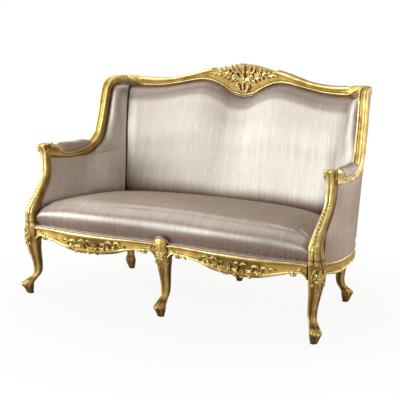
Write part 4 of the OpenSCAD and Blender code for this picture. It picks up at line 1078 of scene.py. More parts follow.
        def onto(u: Array, v: Array, h: Array) -> Array:
            """Straight forward from the crest's bowed front face."""
            return stack(u, S.crest_y + S.bow_at(u) - S.mould_w * 0.42 - h, floor + v * 0.99)
        return carve(design, onto, 1.12)

    def build(self) -> None:
        """Makes the crest with its carving, and both wings."""
        build("crest_rail_gilt", self.crest(), Stuff.GILT, "crest_rail", flat=50)
        build("crest_acanthus", self.ornament(), Stuff.GILT)
        pair("wing_rail_*_gilt", self.wing(), Stuff.GILT, "wing_rail_*", flat=50)


# Section of a seat rail: [share of the thickness from the rear, share of the height, tone]
RAIL = table(
    (0, 0, 0.3), (0, 1, 0.5), (0.70, 1, 0.55), (0.90, 0.99, 0.8), (0.98, 0.95, 0.95), (0.97, 0.88, 0.8),
    (0.90, 0.81, 0.55), (0.86, 0.74, 0.5), (0.84, 0.62, 0.6), (0.83, 0.44, 0.6), (0.84, 0.32, 0.5),
    (0.87, 0.25, 0.35), (0.93, 0.20, 0.65), (0.98, 0.12, 0.9), (0.94, 0.04, 0.8), (0.80, 0.0, 0.4))


@dataclass
class SeatRails:
    """The rails round the seat, with their shaped aprons and carving."""
    steps: int = 90
    bracket_long: float = 34.0
    bracket_drop: float = 24.0
    side_long: float = 560.0
    carved_half: float = 150.0
    carved_z: float = 262.0

    def sweep(self, middle: Array, out: Array, low: Array, thick: Array) -> Shell:
        """The rail's section along a line in plan.

        A control point stands outward from the rear face by its share of the thickness, at its
        share of the height between the underside and the top.

        Args:
            middle: Middle of the rail in plan, point by point.
            out: Direction away from the seat.
            low: Height of the underside.
            thick: Thickness.

        Returns:
            The rail's form.
        """
        weights = smooth_ring(len(RAIL), 3)
        rear = middle - out * S.rail_t / 2
        plan = rear[:, None] + out[:, None] * (RAIL[:, 0] * thick[:, None])[..., None]
        z = mix(low[:, None], S.rail_h, RAIL[:, 1])
        rings = np.einsum("pc,mcx->mpx", weights, np.concatenate([plan, z[..., None]], -1))
        return Shell.loft(rings, weights @ RAIL[:, 2])

    def bracket(self, away: Array) -> Array:
        """How far the rail's underside drops towards a leg, on a hollow curve."""
        return self.bracket_drop * np.clip(1 - away / self.bracket_long, 0, 1) ** 2.2

    def front(self) -> Shell:
        """One front rail, from the middle leg to the corner leg."""
        x = np.linspace(S.block, S.post_x - S.block, self.steps)
        thick, low = L.apron_front(x)
        low = low - self.bracket(x - S.block) - self.bracket(S.post_x - S.block - x)
        out = np.broadcast_to([0, -1.0], (len(x), 2))
        shell = self.sweep(stack(x, S.block - S.rail_t / 2), out, low, thick)
        away = np.abs(shell.points[:, 0] - S.post_x / 2)
        sunk = ease(self.carved_half - away, 0, 40) * ease(S.rail_h - 13 - shell.points[:, 2], 0, 8)
        shell.tone = shell.tone * (1 - 0.7 * sunk) + 0.1 * sunk
        return shell

    def side(self) -> Shell:
        """One side rail, which swells outward behind the arm's post."""
        k = np.linspace(0, 1, self.steps)
        low = S.rail_low - curve(k, SIDE_DROP) * S.drop - self.bracket(k * self.side_long)
        return self.sweep(L.side(k), L.side_out(k), low, np.full(len(k), S.rail_t))

    def back(self) -> Shell:
        """One back rail, bowed like the back."""
        x = np.linspace(S.block, S.rear_x - S.block, 30)
        return self.sweep(stack(x, S.corner_y + S.bow_at(x)), np.broadcast_to([0, 1.0], (len(x), 2)),
                          np.full(len(x), S.rail_low), np.full(len(x), S.rail_t))

    def foliage(self) -> Shell:
        """Flowers, leaves and scrolls along a front apron: u = 0 is mid bay and v is the height."""
        design: list = flower(-18, 262, 13, 9) + flower(38, 256, 10, 8) + flower(-72, 268, 9, 7)
        for u, v, du, dv, bend, width in (
                (-30, 262, -34, 10, 0.3, 14), (-34, 254, -30, -12, -0.3, 14), (-6, 258, 28, 12, -0.3, 14),
                (-4, 250, 26, -10, 0.3, 13), (-60, 274, -36, 2, -0.2, 12), (-84, 262, -34, 8, 0.3, 13),
                (-62, 256, -26, -10, -0.3, 12), (-96, 276, -34, -2, -0.25, 11), (-112, 268, -34, 8, 0.3, 11),
                (-88, 254, -22, -2, -0.2, 9), (28, 268, 30, 6, 0.2, 12), (24, 244, 26, -6, -0.2, 12),
                (48, 262, 32, 6, -0.3, 13), (50, 250, 32, -4, 0.3, 12), (72, 268, 34, -2, 0.2, 12),
                (80, 258, 34, 6, -0.3, 12), (78, 246, 28, 4, 0.3, 10), (106, 266, 32, 0, 0.2, 11),
                (112, 258, 30, 4, -0.3, 10), (134, 264, 28, 4, 0.2, 9), (-20, 246, -18, -8, 0.3, 11),
                (-2, 246, 14, -10, -0.2, 10), (4, 270, 22, 6, 0.2, 11), (-40, 276, -26, 4, 0.2, 10)):
            design.append(Leaf((u, v), (u + du, v + dv), bend, width, 8, 3, 0.75))
        design += [Scroll((-48, 247), 8, 1.2, 0.6, -1, 3, 6, 0.8),
                   Scroll((10, 240), 8, 1.2, 2.4, 1, 3, 6, 0.8),
                   Scroll((66, 240), 8, 1.2, 0.4, -1, 3, 6, 0.8),
                   Scroll((-100, 266), 7, 1.2, 2.6, 1, 2.6, 5, 0.8),
                   Scroll((98, 250), 7, 1.2, 0.8, -1, 2.6, 5, 0.8),
                   Scroll((-138, 272), 6, 1.1, 0.6, 1, 2.2, 4, 0.9)]
        for place in ((-46, 262), (12, 262), (60, 258), (-84, 278), (90, 262), (120, 254)):
            design.append(Berry(place, 2.6, 6))
        design += [Scroll((-232, 268), 10, 1.35, -0.9, -1, 4.0, 8, 1.0),
                   Leaf((-224, 262), (-196, 260), 0.25, 11, 7, 2, 0.7),
                   Leaf((-246, 282), (-262, 290), 0.2, 8, 5, 2, 0.6),
                   Scroll((228, 266), 10, 1.35, 4.0, 1, 4.0, 8, 1.0),
                   Leaf((222, 262), (196, 258), -0.25, 9, 6, 2, 0.7),
                   Leaf((238, 278), (256, 286), -0.2, 8, 5, 2, 0.6)]

        def onto(u: Array, v: Array, h: Array) -> Array:
            """Straight forward from the apron's hollow face; what hangs below the edge stays on it."""
            x = S.post_x / 2 + u * 1.14
            thick, low = L.apron_front(x)
            edge = low - 3 - 9 * ease(np.abs(u), 180, 200)
            z = np.maximum(self.carved_z + (v - self.carved_z) * 1.36, edge)
            return stack(x, S.block - thick * 0.84 - h * 1.15, z)
        return carve(design, onto)

    def side_scroll(self) -> Shell:
        """A small scroll on each side rail."""
        design = [Scroll((120, 266), 8, 1.35, -0.9, -1, 3.2, 5, 0.9),
                  Leaf((128, 260), (152, 258), 0.25, 8, 5, 2, 0.7),
                  Leaf((114, 276), (98, 284), 0.2, 7, 4, 2, 0.6),
                  Scroll((420, 268), 8, 1.3, 4.0, 1, 3.0, 5, 0.9),
                  Leaf((410, 262), (386, 260), -0.25, 8, 5, 2, 0.7)]

        def onto(u: Array, v: Array, h: Array) -> Array:
            """Outward from the rail's hollow face, u being the distance along it."""
            k = np.clip(u / self.side_long, 0, 1)
            p = L.side(k) + L.side_out(k) * (S.rail_t * 0.34 + h)[..., None]
            return stack(p[..., 0], p[..., 1], v)
        return carve(design, onto)

    def build(self) -> None:
        """Makes the six rails and the carving on them."""
        pair("front_rail_*_gilt", self.front(), Stuff.GILT, "front_rail_*", flat=50)
        pair("front_foliage_*", self.foliage(), Stuff.GILT)
        pair("side_rail_*_gilt", self.side(), Stuff.GILT, "side_rail_*", flat=50)
        pair("side_scroll_*", self.side_scroll(), Stuff.GILT)
        pair("back_rail_*_gilt", self.back(), Stuff.GILT, "back_rail_*", flat=50)


# Legs: [share of the height, outward share of the toe's reach, half size over the ankle's, squareness]
LEG = table(
    (0.00, 0.10, 0.84, 2.4), (0.015, 0.12, 0.96, 2.3), (0.05, 0.18, 1.12, 2.2), (0.09, 0.26, 1.30, 2.1),
    (0.135, 0.32, 1.46, 2.1), (0.175, 0.12, 1.32, 2.3), (0.215, -0.20, 1.10, 2.6), (0.26, -0.50, 1.00, 3.0),
    (0.32, -0.64, 1.02, 3.4), (0.43, -0.56, 1.12, 3.6), (0.54, -0.36, 1.26, 3.8), (0.66, -0.14, 1.50, 3.4),
    (0.75, -0.02, 1.80, 2.7), (0.82, 0.04, 1.90, 2.6), (0.90, 0.02, 1.84, 3.2), (0.95, 0.00, 1.82, 4.0),
    (1.00, 0.00, 1.86, 5.0))


@dataclass
class CabrioleLeg:
    """A leg with a square block, a carved knee, a moulded shaft and a turned-out scroll toe."""
    foot: tuple[float, float]
    top: tuple[float, float]
    way: tuple[float, float]
    carved: bool = True
    reach: float = 1.0
    rows: int = 150
    around: int = 96
    flute: float = 0.085
    bead: float = 0.02

    @property
    def heading(self) -> float:
        """Angle of the toe in plan."""
        return float(np.arctan2(self.way[1], self.way[0]))

    def place(self, k: Array, angle: Array, rise: Array | float = 0.0) -> Array:
        """Points on the leg.

        The middle line runs straight from the foot to the block, bent outward by its share of
        the toe's reach. Round it the radius is that of a superellipse, which is squarer up the
        leg, with a shallow flute down the middle of each face and a bead at each corner.

        Args:
            k: Share of the height.
            angle: Angle round the leg, 0 towards the toe.
            rise: Extra height over the surface.

        Returns:
            The points.
        """
        v = curve(k, LEG)
        foot, top, way = (np.array(place, float) for place in (self.foot, self.top, self.way))
        c = mix(foot, top, np.minimum(k / 0.75, 1)[..., None])
        c = c + unit(way) * (v[..., 0] * S.toe * self.reach)[..., None]
        a = angle + self.heading
        p = v[..., 2]
        cos, sin = np.abs(np.cos(a)), np.abs(np.sin(a))
        r = v[..., 1] * S.ankle / (cos ** p + sin ** p + 1e-9) ** (1 / p)
        shaft = ease(k, 0.20, 0.30) * (1 - ease(k, 0.70, 0.80))
        face = np.cos(4 * a)
        r = r * (1 - shaft * self.flute * np.maximum(face, 0) ** 0.7
                 + shaft * self.bead * bump(face, -1, 0.3))
        toe = bump(k, 0.128, 0.045) * np.clip(np.cos(angle), 0, 1) ** 3 * (1.8 * self.reach - 0.8)
        r = r * (1 + 0.30 * toe) + 1.3 * bump(k, 0.09, 0.06) * self.lobes(k, angle) - 0.5 + rise
        return stack(c[..., 0] + r * np.cos(a), c[..., 1] + r * np.sin(a), mix(S.glide, S.rail_h, k))

    def lobes(self, k: Array, angle: Array) -> Array:
        """Nine lobes round the toe, each a half wave that winds up the leg."""
        return np.abs(np.sin(4.5 * angle + 22 * k))

    def body(self) -> Shell:
        """The leg itself, with tone from its flutes and from the joints of toe and knee."""
        rows = np.concatenate([[0, 0.002], np.linspace(0.006, 0.994, self.rows), [0.998, 1.0]])
        angle, k = np.meshgrid(np.linspace(0, 2 * np.pi, self.around, endpoint=False), rows)
        face = np.cos(4 * (angle + self.heading))
        shaft = ease(k, 0.2, 0.3) * (1 - ease(k, 0.66, 0.8))
        flutes = 0.28 * bump(face, -1, 0.35) - 0.30 * bump(face, 1, 0.6) * shaft
        toe = 0.14 * (1 - ease(k, 0.06, 0.2)) + 0.2 * ease(-k, -0.03, 0.0)
        folds = 0.3 * bump(k, 0.205, 0.02) + 0.45 * bump(k, 0.07, 0.05) * (1 - self.lobes(k, angle))
        return Shell.loft(self.place(k, angle), 0.44 + flutes - toe - folds - 0.10 * ease(k, 0.7, 0.85))

    def carving(self) -> Shell:
        """Leaves and scrolls over the knee and leaf lobes on the toe, laid round the leg's front."""
        design = mirrored([
            Scroll((10, 272), 8, 1.25, -1.0, 1, 3, 6, 0.9), Scroll((11, 246), 7, 1.2, 2.2, -1, 2.8, 5, 0.9),
            Leaf((4, 262), (17, 292), -0.25, 12, 7, 3, 0.8), Leaf((3, 252), (18, 236), 0.3, 11, 6, 3, 0.8),
            Leaf((3, 236), (14, 216), 0.25, 9, 5, 3, 0.8), Leaf((2, 222), (9, 200), 0.2, 7, 4, 2, 0.7),
            Leaf((14, 262), (26, 250), 0.25, 9, 5, 2, 0.7), Leaf((1, 54), (12, 38), 0.3, 10, 3.0, 2, 0.5),
            Leaf((8, 58), (24, 44), 0.3, 10, 2.6, 2, 0.5), Leaf((30, 236), (2, 304), -0.22, 9, 8, 1, 0.3),
            Scroll((27, 232), 8, 1.2, 0.5, -1, 3, 5, 0.5)])
        design += [Leaf((0, 256), (0, 298), 0, 15, 9, 3, 0.8), Leaf((0, 262), (0, 222), 0, 13, 7, 4, 0.7),
                   Leaf((0, 226), (0, 176), 0, 8, 4.5, 4, 0.4), Berry((0, 259), 4, 9),
                   Leaf((0, 66), (0, 30), 0, 12, 3.4, 3, 0.6)]

        def onto(u: Array, v: Array, h: Array) -> Array:
            """Round the leg: u is the distance round it from the side of the toe, v the height."""
            k = (v - S.glide) / (S.rail_h - S.glide)
            r = curve(k, LEG)[..., 1] * S.ankle * 1.1
            return self.place(k, u / r, h - 0.6)
        return carve(design, onto)

    def shell(self) -> Shell:
        """The whole leg as one form."""
        return Shell.join([self.body(), self.carving()]) if self.carved else self.body()


@dataclass
class Legs:
    """Six legs: three in front and three behind."""

    def build(self) -> None:
        """Makes the legs and the leaf over the middle knee."""
        front = CabrioleLeg((S.front_x, 0), (S.post_x, S.post_y), (1, -1))
        rear = CabrioleLeg((S.rear_x, S.depth), (S.rear_x, S.corner_y), (1, 1), carved=False, reach=0.72)
        pair("leg_front_*_gilt", front.shell(), Stuff.GILT, "leg_front_*")
        pair("leg_rear_*_gilt", rear.shell(), Stuff.GILT, "leg_rear_*")
        middle = CabrioleLeg((0, 0), (0, S.post_y), (0, -1))
        build("leg_front_middle_gilt", middle.shell(), Stuff.GILT, "leg_front_middle")
        behind = replace(rear, foot=(0, S.depth + S.bow * 1.25), top=(0, S.corner_y + S.bow), way=(0, 1))
        build("leg_rear_middle_gilt", behind.shell(), Stuff.GILT, "leg_rear_middle")
        build("knee_leaf_gilt", self.knee(), Stuff.GILT, "knee_leaf")

    def knee(self) -> Shell:
        """The carved knee of the middle leg, which rises over the rail: a ridge with leaves on it."""
        k = np.linspace(0, 1, 40)
        size = curve(k, table((0, 0.35, 0.3), (0.3, 0.66, 0.52), (0.6, 0.9, 0.56), (0.8, 0.86, 0.45),
                              (0.93, 0.6, 0.3), (1, 0.12, 0.1)))
        half, deep = size[:, 0] * S.block, size[:, 1] * S.ankle * 1.2
        z = mix(270.8, S.rail_h + S.knee_rise, k)[:, None]
        a = np.linspace(0, np.pi, 25)
        x = np.cos(a) * half[:, None]
        y = -10 - np.sin(a) ** 0.7 * deep[:, None] * (1 - 0.05 * np.cos(6 * a))
        rear = stack(x, -8.0, z)
        tone = np.concatenate([0.6 - 0.12 * np.cos(6 * a) + 0 * x, 0.4 + 0 * x], 1)
        body = Shell.loft(np.concatenate([stack(x, y, z), rear[:, ::-1]], 1), tone)
        design = mirrored([Scroll((15, 304), 8, 1.2, 2.0, -1, 3.2, 5, 0.9),
                           Leaf((4, 300), (10, 326), -0.2, 9, 4, 2, 0.8)])
        design += [Leaf((0, 286), (0, 330), 0, 12, 5, 3, 0.7)]

        def onto(u: Array, v: Array, h: Array) -> Array:
            """Straight forward from the knee's ridge."""
            return stack(u, -17.0 + np.abs(u) * 0.22 - h, v)
        return Shell.join([body, carve(design, onto)])


# Section of an arm: [share of the half width, share of the height, tone]
ARM_HALF = table(
    (0.99, 0.26, 0.75), (0.95, 0.40, 0.6), (0.94, 0.54, 0.55), (0.95, 0.66, 0.5), (1, 0.78, 0.9),
    (0.99, 0.90, 1), (0.86, 1.0, 0.95), (0.5, 0.97, 0.7))
ARM_RING = np.concatenate([
    table((-1, 0.12, 0.5), (-0.84, 0, 0.4), (0.84, 0, 0.4), (1, 0.12, 0.8)), ARM_HALF,
    table((0, 0.98, 0.7)), ARM_HALF[::-1] * [-1, 1, 1]])


@dataclass
class Arms:
    """The curved posts and the arms with their hand-holds."""
    rows: int = 90
    roll_at: float = 0.47
    roll_cut: float = 0.24
    side_cut: float = 0.07
    hold_long: float = 58.0
    square: float = 5.0

    def section(self, middle: Array, half: Array, deep: Array, flute: float = 1.0) -> tuple[Array, Array]:
        """A level section with two rounded rolls in front.

        Round a square whose corners are eased, the front is pushed back between and beside two
        half-round rolls, and the sides have one shallow hollow.

        Args:
            middle: Middle of each ring.
            half: Half width of each ring.
            deep: Half depth of each ring.
            flute: How deep the rolls are cut.

        Returns:
            The rings' points, and their tone.
        """
        a = np.linspace(0, 2 * np.pi, 72, endpoint=False) + np.pi / 72
        p = self.square
        r = 1 / (np.abs(np.cos(a)) ** p + np.abs(np.sin(a)) ** p) ** (1 / p)
        x, y = r * np.cos(a), r * np.sin(a)
        front = ease(-y, 0.35, 0.85)
        roll = np.sqrt(np.clip(1 - (np.abs(x) / self.roll_at - 1) ** 2, 0, 1))
        cut = flute * self.roll_cut * (1 - roll) * front
        hollow = bump(y, 0.15, 0.35) * ease(np.abs(x), 0.6, 0.95)
        rings = stack(middle[:, None, 0] + x * (1 - self.side_cut * hollow) * half[:, None],
                      middle[:, None, 1] + (y + cut) * deep[:, None], middle[:, None, 2])
        tone = 0.62 + 0.3 * roll * front - 0.5 * (1 - roll) * front - 0.25 * hollow
        return rings, np.broadcast_to(tone, rings.shape[:2])

    def post(self) -> Shell:
        """One post, from the leg block to the hand-hold, with a ring turned round its foot."""
        k = np.linspace(0, 1, self.rows)
        middle, half = L.post(k)
        half = half + 0.8 * bump(k, 0.03, 0.02)
        rings, tone = self.section(middle, half, half)
        shade = 0.4 * bump(k, 0.065, 0.015) + 0.16 * bump(k, 0.28, 0.2)
        return Shell.loft(rings, tone - shade[:, None])

    def hold(self) -> Shell:
        """The hand-hold's front, which carries the post's two rolls up and flares at its top."""
        z = np.linspace(S.post_top - 1, S.arm_h - 1, 40)
        k = (z - z[0]) / (z[-1] - z[0])
        shape = curve(k, table((0, 0.84, 0), (0.25, 0.86, 1.5), (0.5, 0.93, 7), (0.72, 1.04, 16),
                               (0.88, 1.12, 23), (0.96, 1.08, 22), (1.0, 0.88, 15)))
        rear = L.arm_y[0] + self.hold_long
        front = S.post_y + 3.4 * S.block - S.post * 1.06 - shape[:, 1]
        middle = stack(L.arm_x, (front + rear) / 2, z)
        rings, tone = self.section(middle, shape[:, 0] * S.hand, (rear - front) / 2, 0.5)
        design = flower(0, 0, 11, 5, 6)

        def onto(u: Array, v: Array, h: Array) -> Array:
            """Sideways from the block, u running forward and v up."""
            return stack(L.arm_x + S.hand * 0.93 + h, rear - 34 - u, 640 + v)

        def inside(u: Array, v: Array, h: Array) -> Array:
            """The same on the side that faces the seat."""
            return onto(u, v, h) * [-1, 1, 1] + [2 * L.arm_x, 0, 0]
        return Shell.join([Shell.loft(rings, tone), carve(design, onto), carve(design, inside)])

    def arm(self) -> Shell:
        """One arm: its section from underside to top, with a groove and bead along each side."""
        k = np.linspace(0.13, 1, self.rows * 2)
        v = curve(k, ARM)
        weights = smooth_ring(len(ARM_RING), 3)
        low = np.where(k < 0.22, np.maximum(v[:, 0], 0), v[:, 0])
        x = L.arm_x + v[:, 3] * S.block
        rows = stack(x[:, None] + ARM_RING[:, 0] * v[:, 2:3] * S.hand, mix(*L.arm_y, k)[:, None],
                     L.arm_z(mix(low[:, None], v[:, 1:2], ARM_RING[:, 1])))
        return Shell.loft(np.einsum("pc,mcx->mpx", weights, rows), weights @ ARM_RING[:, 2])

    def spray(self) -> Shell:
        """A twisted leaf up the lower front of the post over a small scroll."""
        design = [Scroll((6, 370), 11, 1.35, 2.4, 1, 4.2, 9, 0.9),
                  Leaf((2, 384), (14, 404), -0.3, 11, 6, 2, 0.7),
                  Leaf((12, 380), (4, 360), -0.2, 9, 5, 2, 0.6),
                  Leaf((-4, 366), (-14, 350), 0.2, 10, 4, 2, 0.6)]
        for i in range(13):
            v, size = 386 + i * 13, 21 - 0.9 * i
            side = 1 + 3 * np.cos(i * 0.5)
            design.append(Leaf((side + 5, v - 2), (side - 7, v + 16), 0.3, size, 13 - 0.5 * i, 2, 0.8))
        design.append(Leaf((-4, 330), (-2, 356), 0.1, 12, 4, 3, 0.6))

        def onto(u: Array, v: Array, h: Array) -> Array:
            """Straight forward from the post's front, u being the distance from its middle."""
            k = np.clip((v - S.rail_h) / (S.post_top - S.rail_h), 0, 1)
            middle, half = L.post(k)
            return stack(middle[..., 0] + u, middle[..., 1] - half * 0.90 - h, v)
        return carve(design, onto, 1.3)

    def curl(self) -> Shell:
        """A small scroll on the arm, just in front of the pad."""
        design = [Scroll((0, 0), 9, 1.3, 1.2, -1, 3.2, 5, 0.6), Leaf((-6, 4), (-22, 8), 0.2, 9, 4, 2, 0.6),
                  Leaf((6, -4), (20, -10), 0.2, 9, 4, 2, 0.6)]

        def onto(u: Array, v: Array, h: Array) -> Array:
            """Up from the arm's top near its front; u runs back along it and v across it."""
            k = np.clip(0.30 + u / 288, 0, 1)
            w = curve(k, ARM)
            return stack(L.arm_x + w[..., 3] * S.block + v, mix(*L.arm_y, k), L.arm_z(w[..., 1]) - 1.5 + h)
        return carve(design, onto)

    def build(self) -> None:
        """Makes both arms."""
        pair("arm_post_*_gilt", Shell.join([self.post(), self.spray()]), Stuff.GILT, "arm_post_*", flat=60)
        arm = Shell.join([self.arm(), self.hold(), self.curl()])
        pair("arm_rail_*_gilt", arm, Stuff.GILT, "arm_rail_*", flat=60)


# Silk covers

# Rows of the sides: [place up the side or along the arm and wing, share of the seam's height]
LOWER_ROWS = table((0, 0.19), (0.2, 0.255), (0.4, 0.32), (0.6, 0.385), (0.8, 0.445), (0.93, 0.485), (1, 0.5))
WING_ROWS = table(
    (2, 0.5), (2.1, 0.53), (2.195, 0.575), (2.295, 0.625), (2.39, 0.68), (2.5, 0.745), (2.6, 0.8),
    (2.7, 0.85), (2.78, 0.893), (2.85, 0.93), (2.92, 0.965), (3, 1))
WALL_ROWS = table(
    (0, 0), (0.25, 0.12), (0.5, 0.24), (0.75, 0.36), (1, 0.46), (1.5, 0.5), (2, 0.54), (2.1, 0.58),
    (2.195, 0.62), (2.295, 0.66), (2.44, 0.73), (2.6, 0.8), (2.7, 0.86), (2.78, 0.91), (2.86, 0.955), (3, 1))
# How far a row of the outer side swells with the arm
WALL_HUG = table((0, 0), (0.6, 0.5), (1, 1), (1.5, 0.6), (2, 0), (3, 0))
# The sides' line at the seat: [place, half width and depth as shares of the frame's]
SIDE_IN = table(
    (0.00, 0.954, 0.088), (0.25, 0.930, 0.234), (0.50, 0.899, 0.469), (0.72, 0.855, 0.656),
    (0.88, 0.795, 0.735), (1.00, 0.746, 0.771))
# Where the wing is rolled and where it is hollow, along its line from 2 to 3
ROLL_FULL = table((2, 0), (2.25, 0.4), (2.5, 0.8), (2.7, 1), (2.88, 0.75), (3, 0))
ROLL_HOLLOW = table((2, 1), (2.2, 0.35), (2.4, 0), (3, 0))


def spread(count: int, close: float) -> Array:
    """Places from -1 to 1 that lie closer together towards both ends."""
    return np.sin(np.linspace(-1, 1, count) * np.pi / 2 * close) / np.sin(np.pi / 2 * close)


def lengths(grid: Array) -> Array:
    """Flat coordinates of a grid of points in metres.

    The first is the length along the row from its middle column, and the second the length up
    the column from its first row, so the threads run up the columns.
    """
    steps = np.linalg.norm(np.diff(grid, axis=1), axis=-1)
    u = np.concatenate([np.zeros((len(grid), 1)), np.cumsum(steps, 1)], 1)
    u -= u[:, [u.shape[1] // 2]]
    rises = np.linalg.norm(np.diff(grid, axis=0), axis=-1)
    v = np.concatenate([np.zeros((1, grid.shape[1])), np.cumsum(rises, 0)])
    return np.stack([u, v], -1) / 1000


def skin(front: Array, rear: Array, quads: Array, weave: Array) -> Shell:
    """A closed form between two sheets of points that share their faces.

    The sheets' free edges, which only one face uses, are joined by walls.

    Args:
        front: Points of the sheet that shows.
        rear: Points of the sheet behind it.
        quads: The front sheet's faces.
        weave: Flat coordinates of its points.

    Returns:
        The form.
    """
    n = len(front)
    edges = np.concatenate([quads[:, [k, (k + 1) % 4]] for k in range(4)])
    key = np.sort(edges, 1) @ np.array([n * 2, 1])
    _, index, count = np.unique(key, return_index=True, return_counts=True)
    rim = edges[index[count == 1]]
    walls = np.stack([rim[:, 1], rim[:, 0], rim[:, 0] + n, rim[:, 1] + n], -1)
    faces = np.concatenate([quads, quads[:, ::-1] + n, walls])
    shell = Shell(np.concatenate([front, rear]), faces, np.full(n * 2, 0.6), np.concatenate([weave, weave]))
    return shell.outward()


def grid_quads(index: Array) -> Array:
    """Faces between neighbours of a grid of point numbers."""
    return np.stack([index[:-1, :-1], index[:-1, 1:], index[1:, 1:], index[1:, :-1]], -1).reshape(-1, 4)


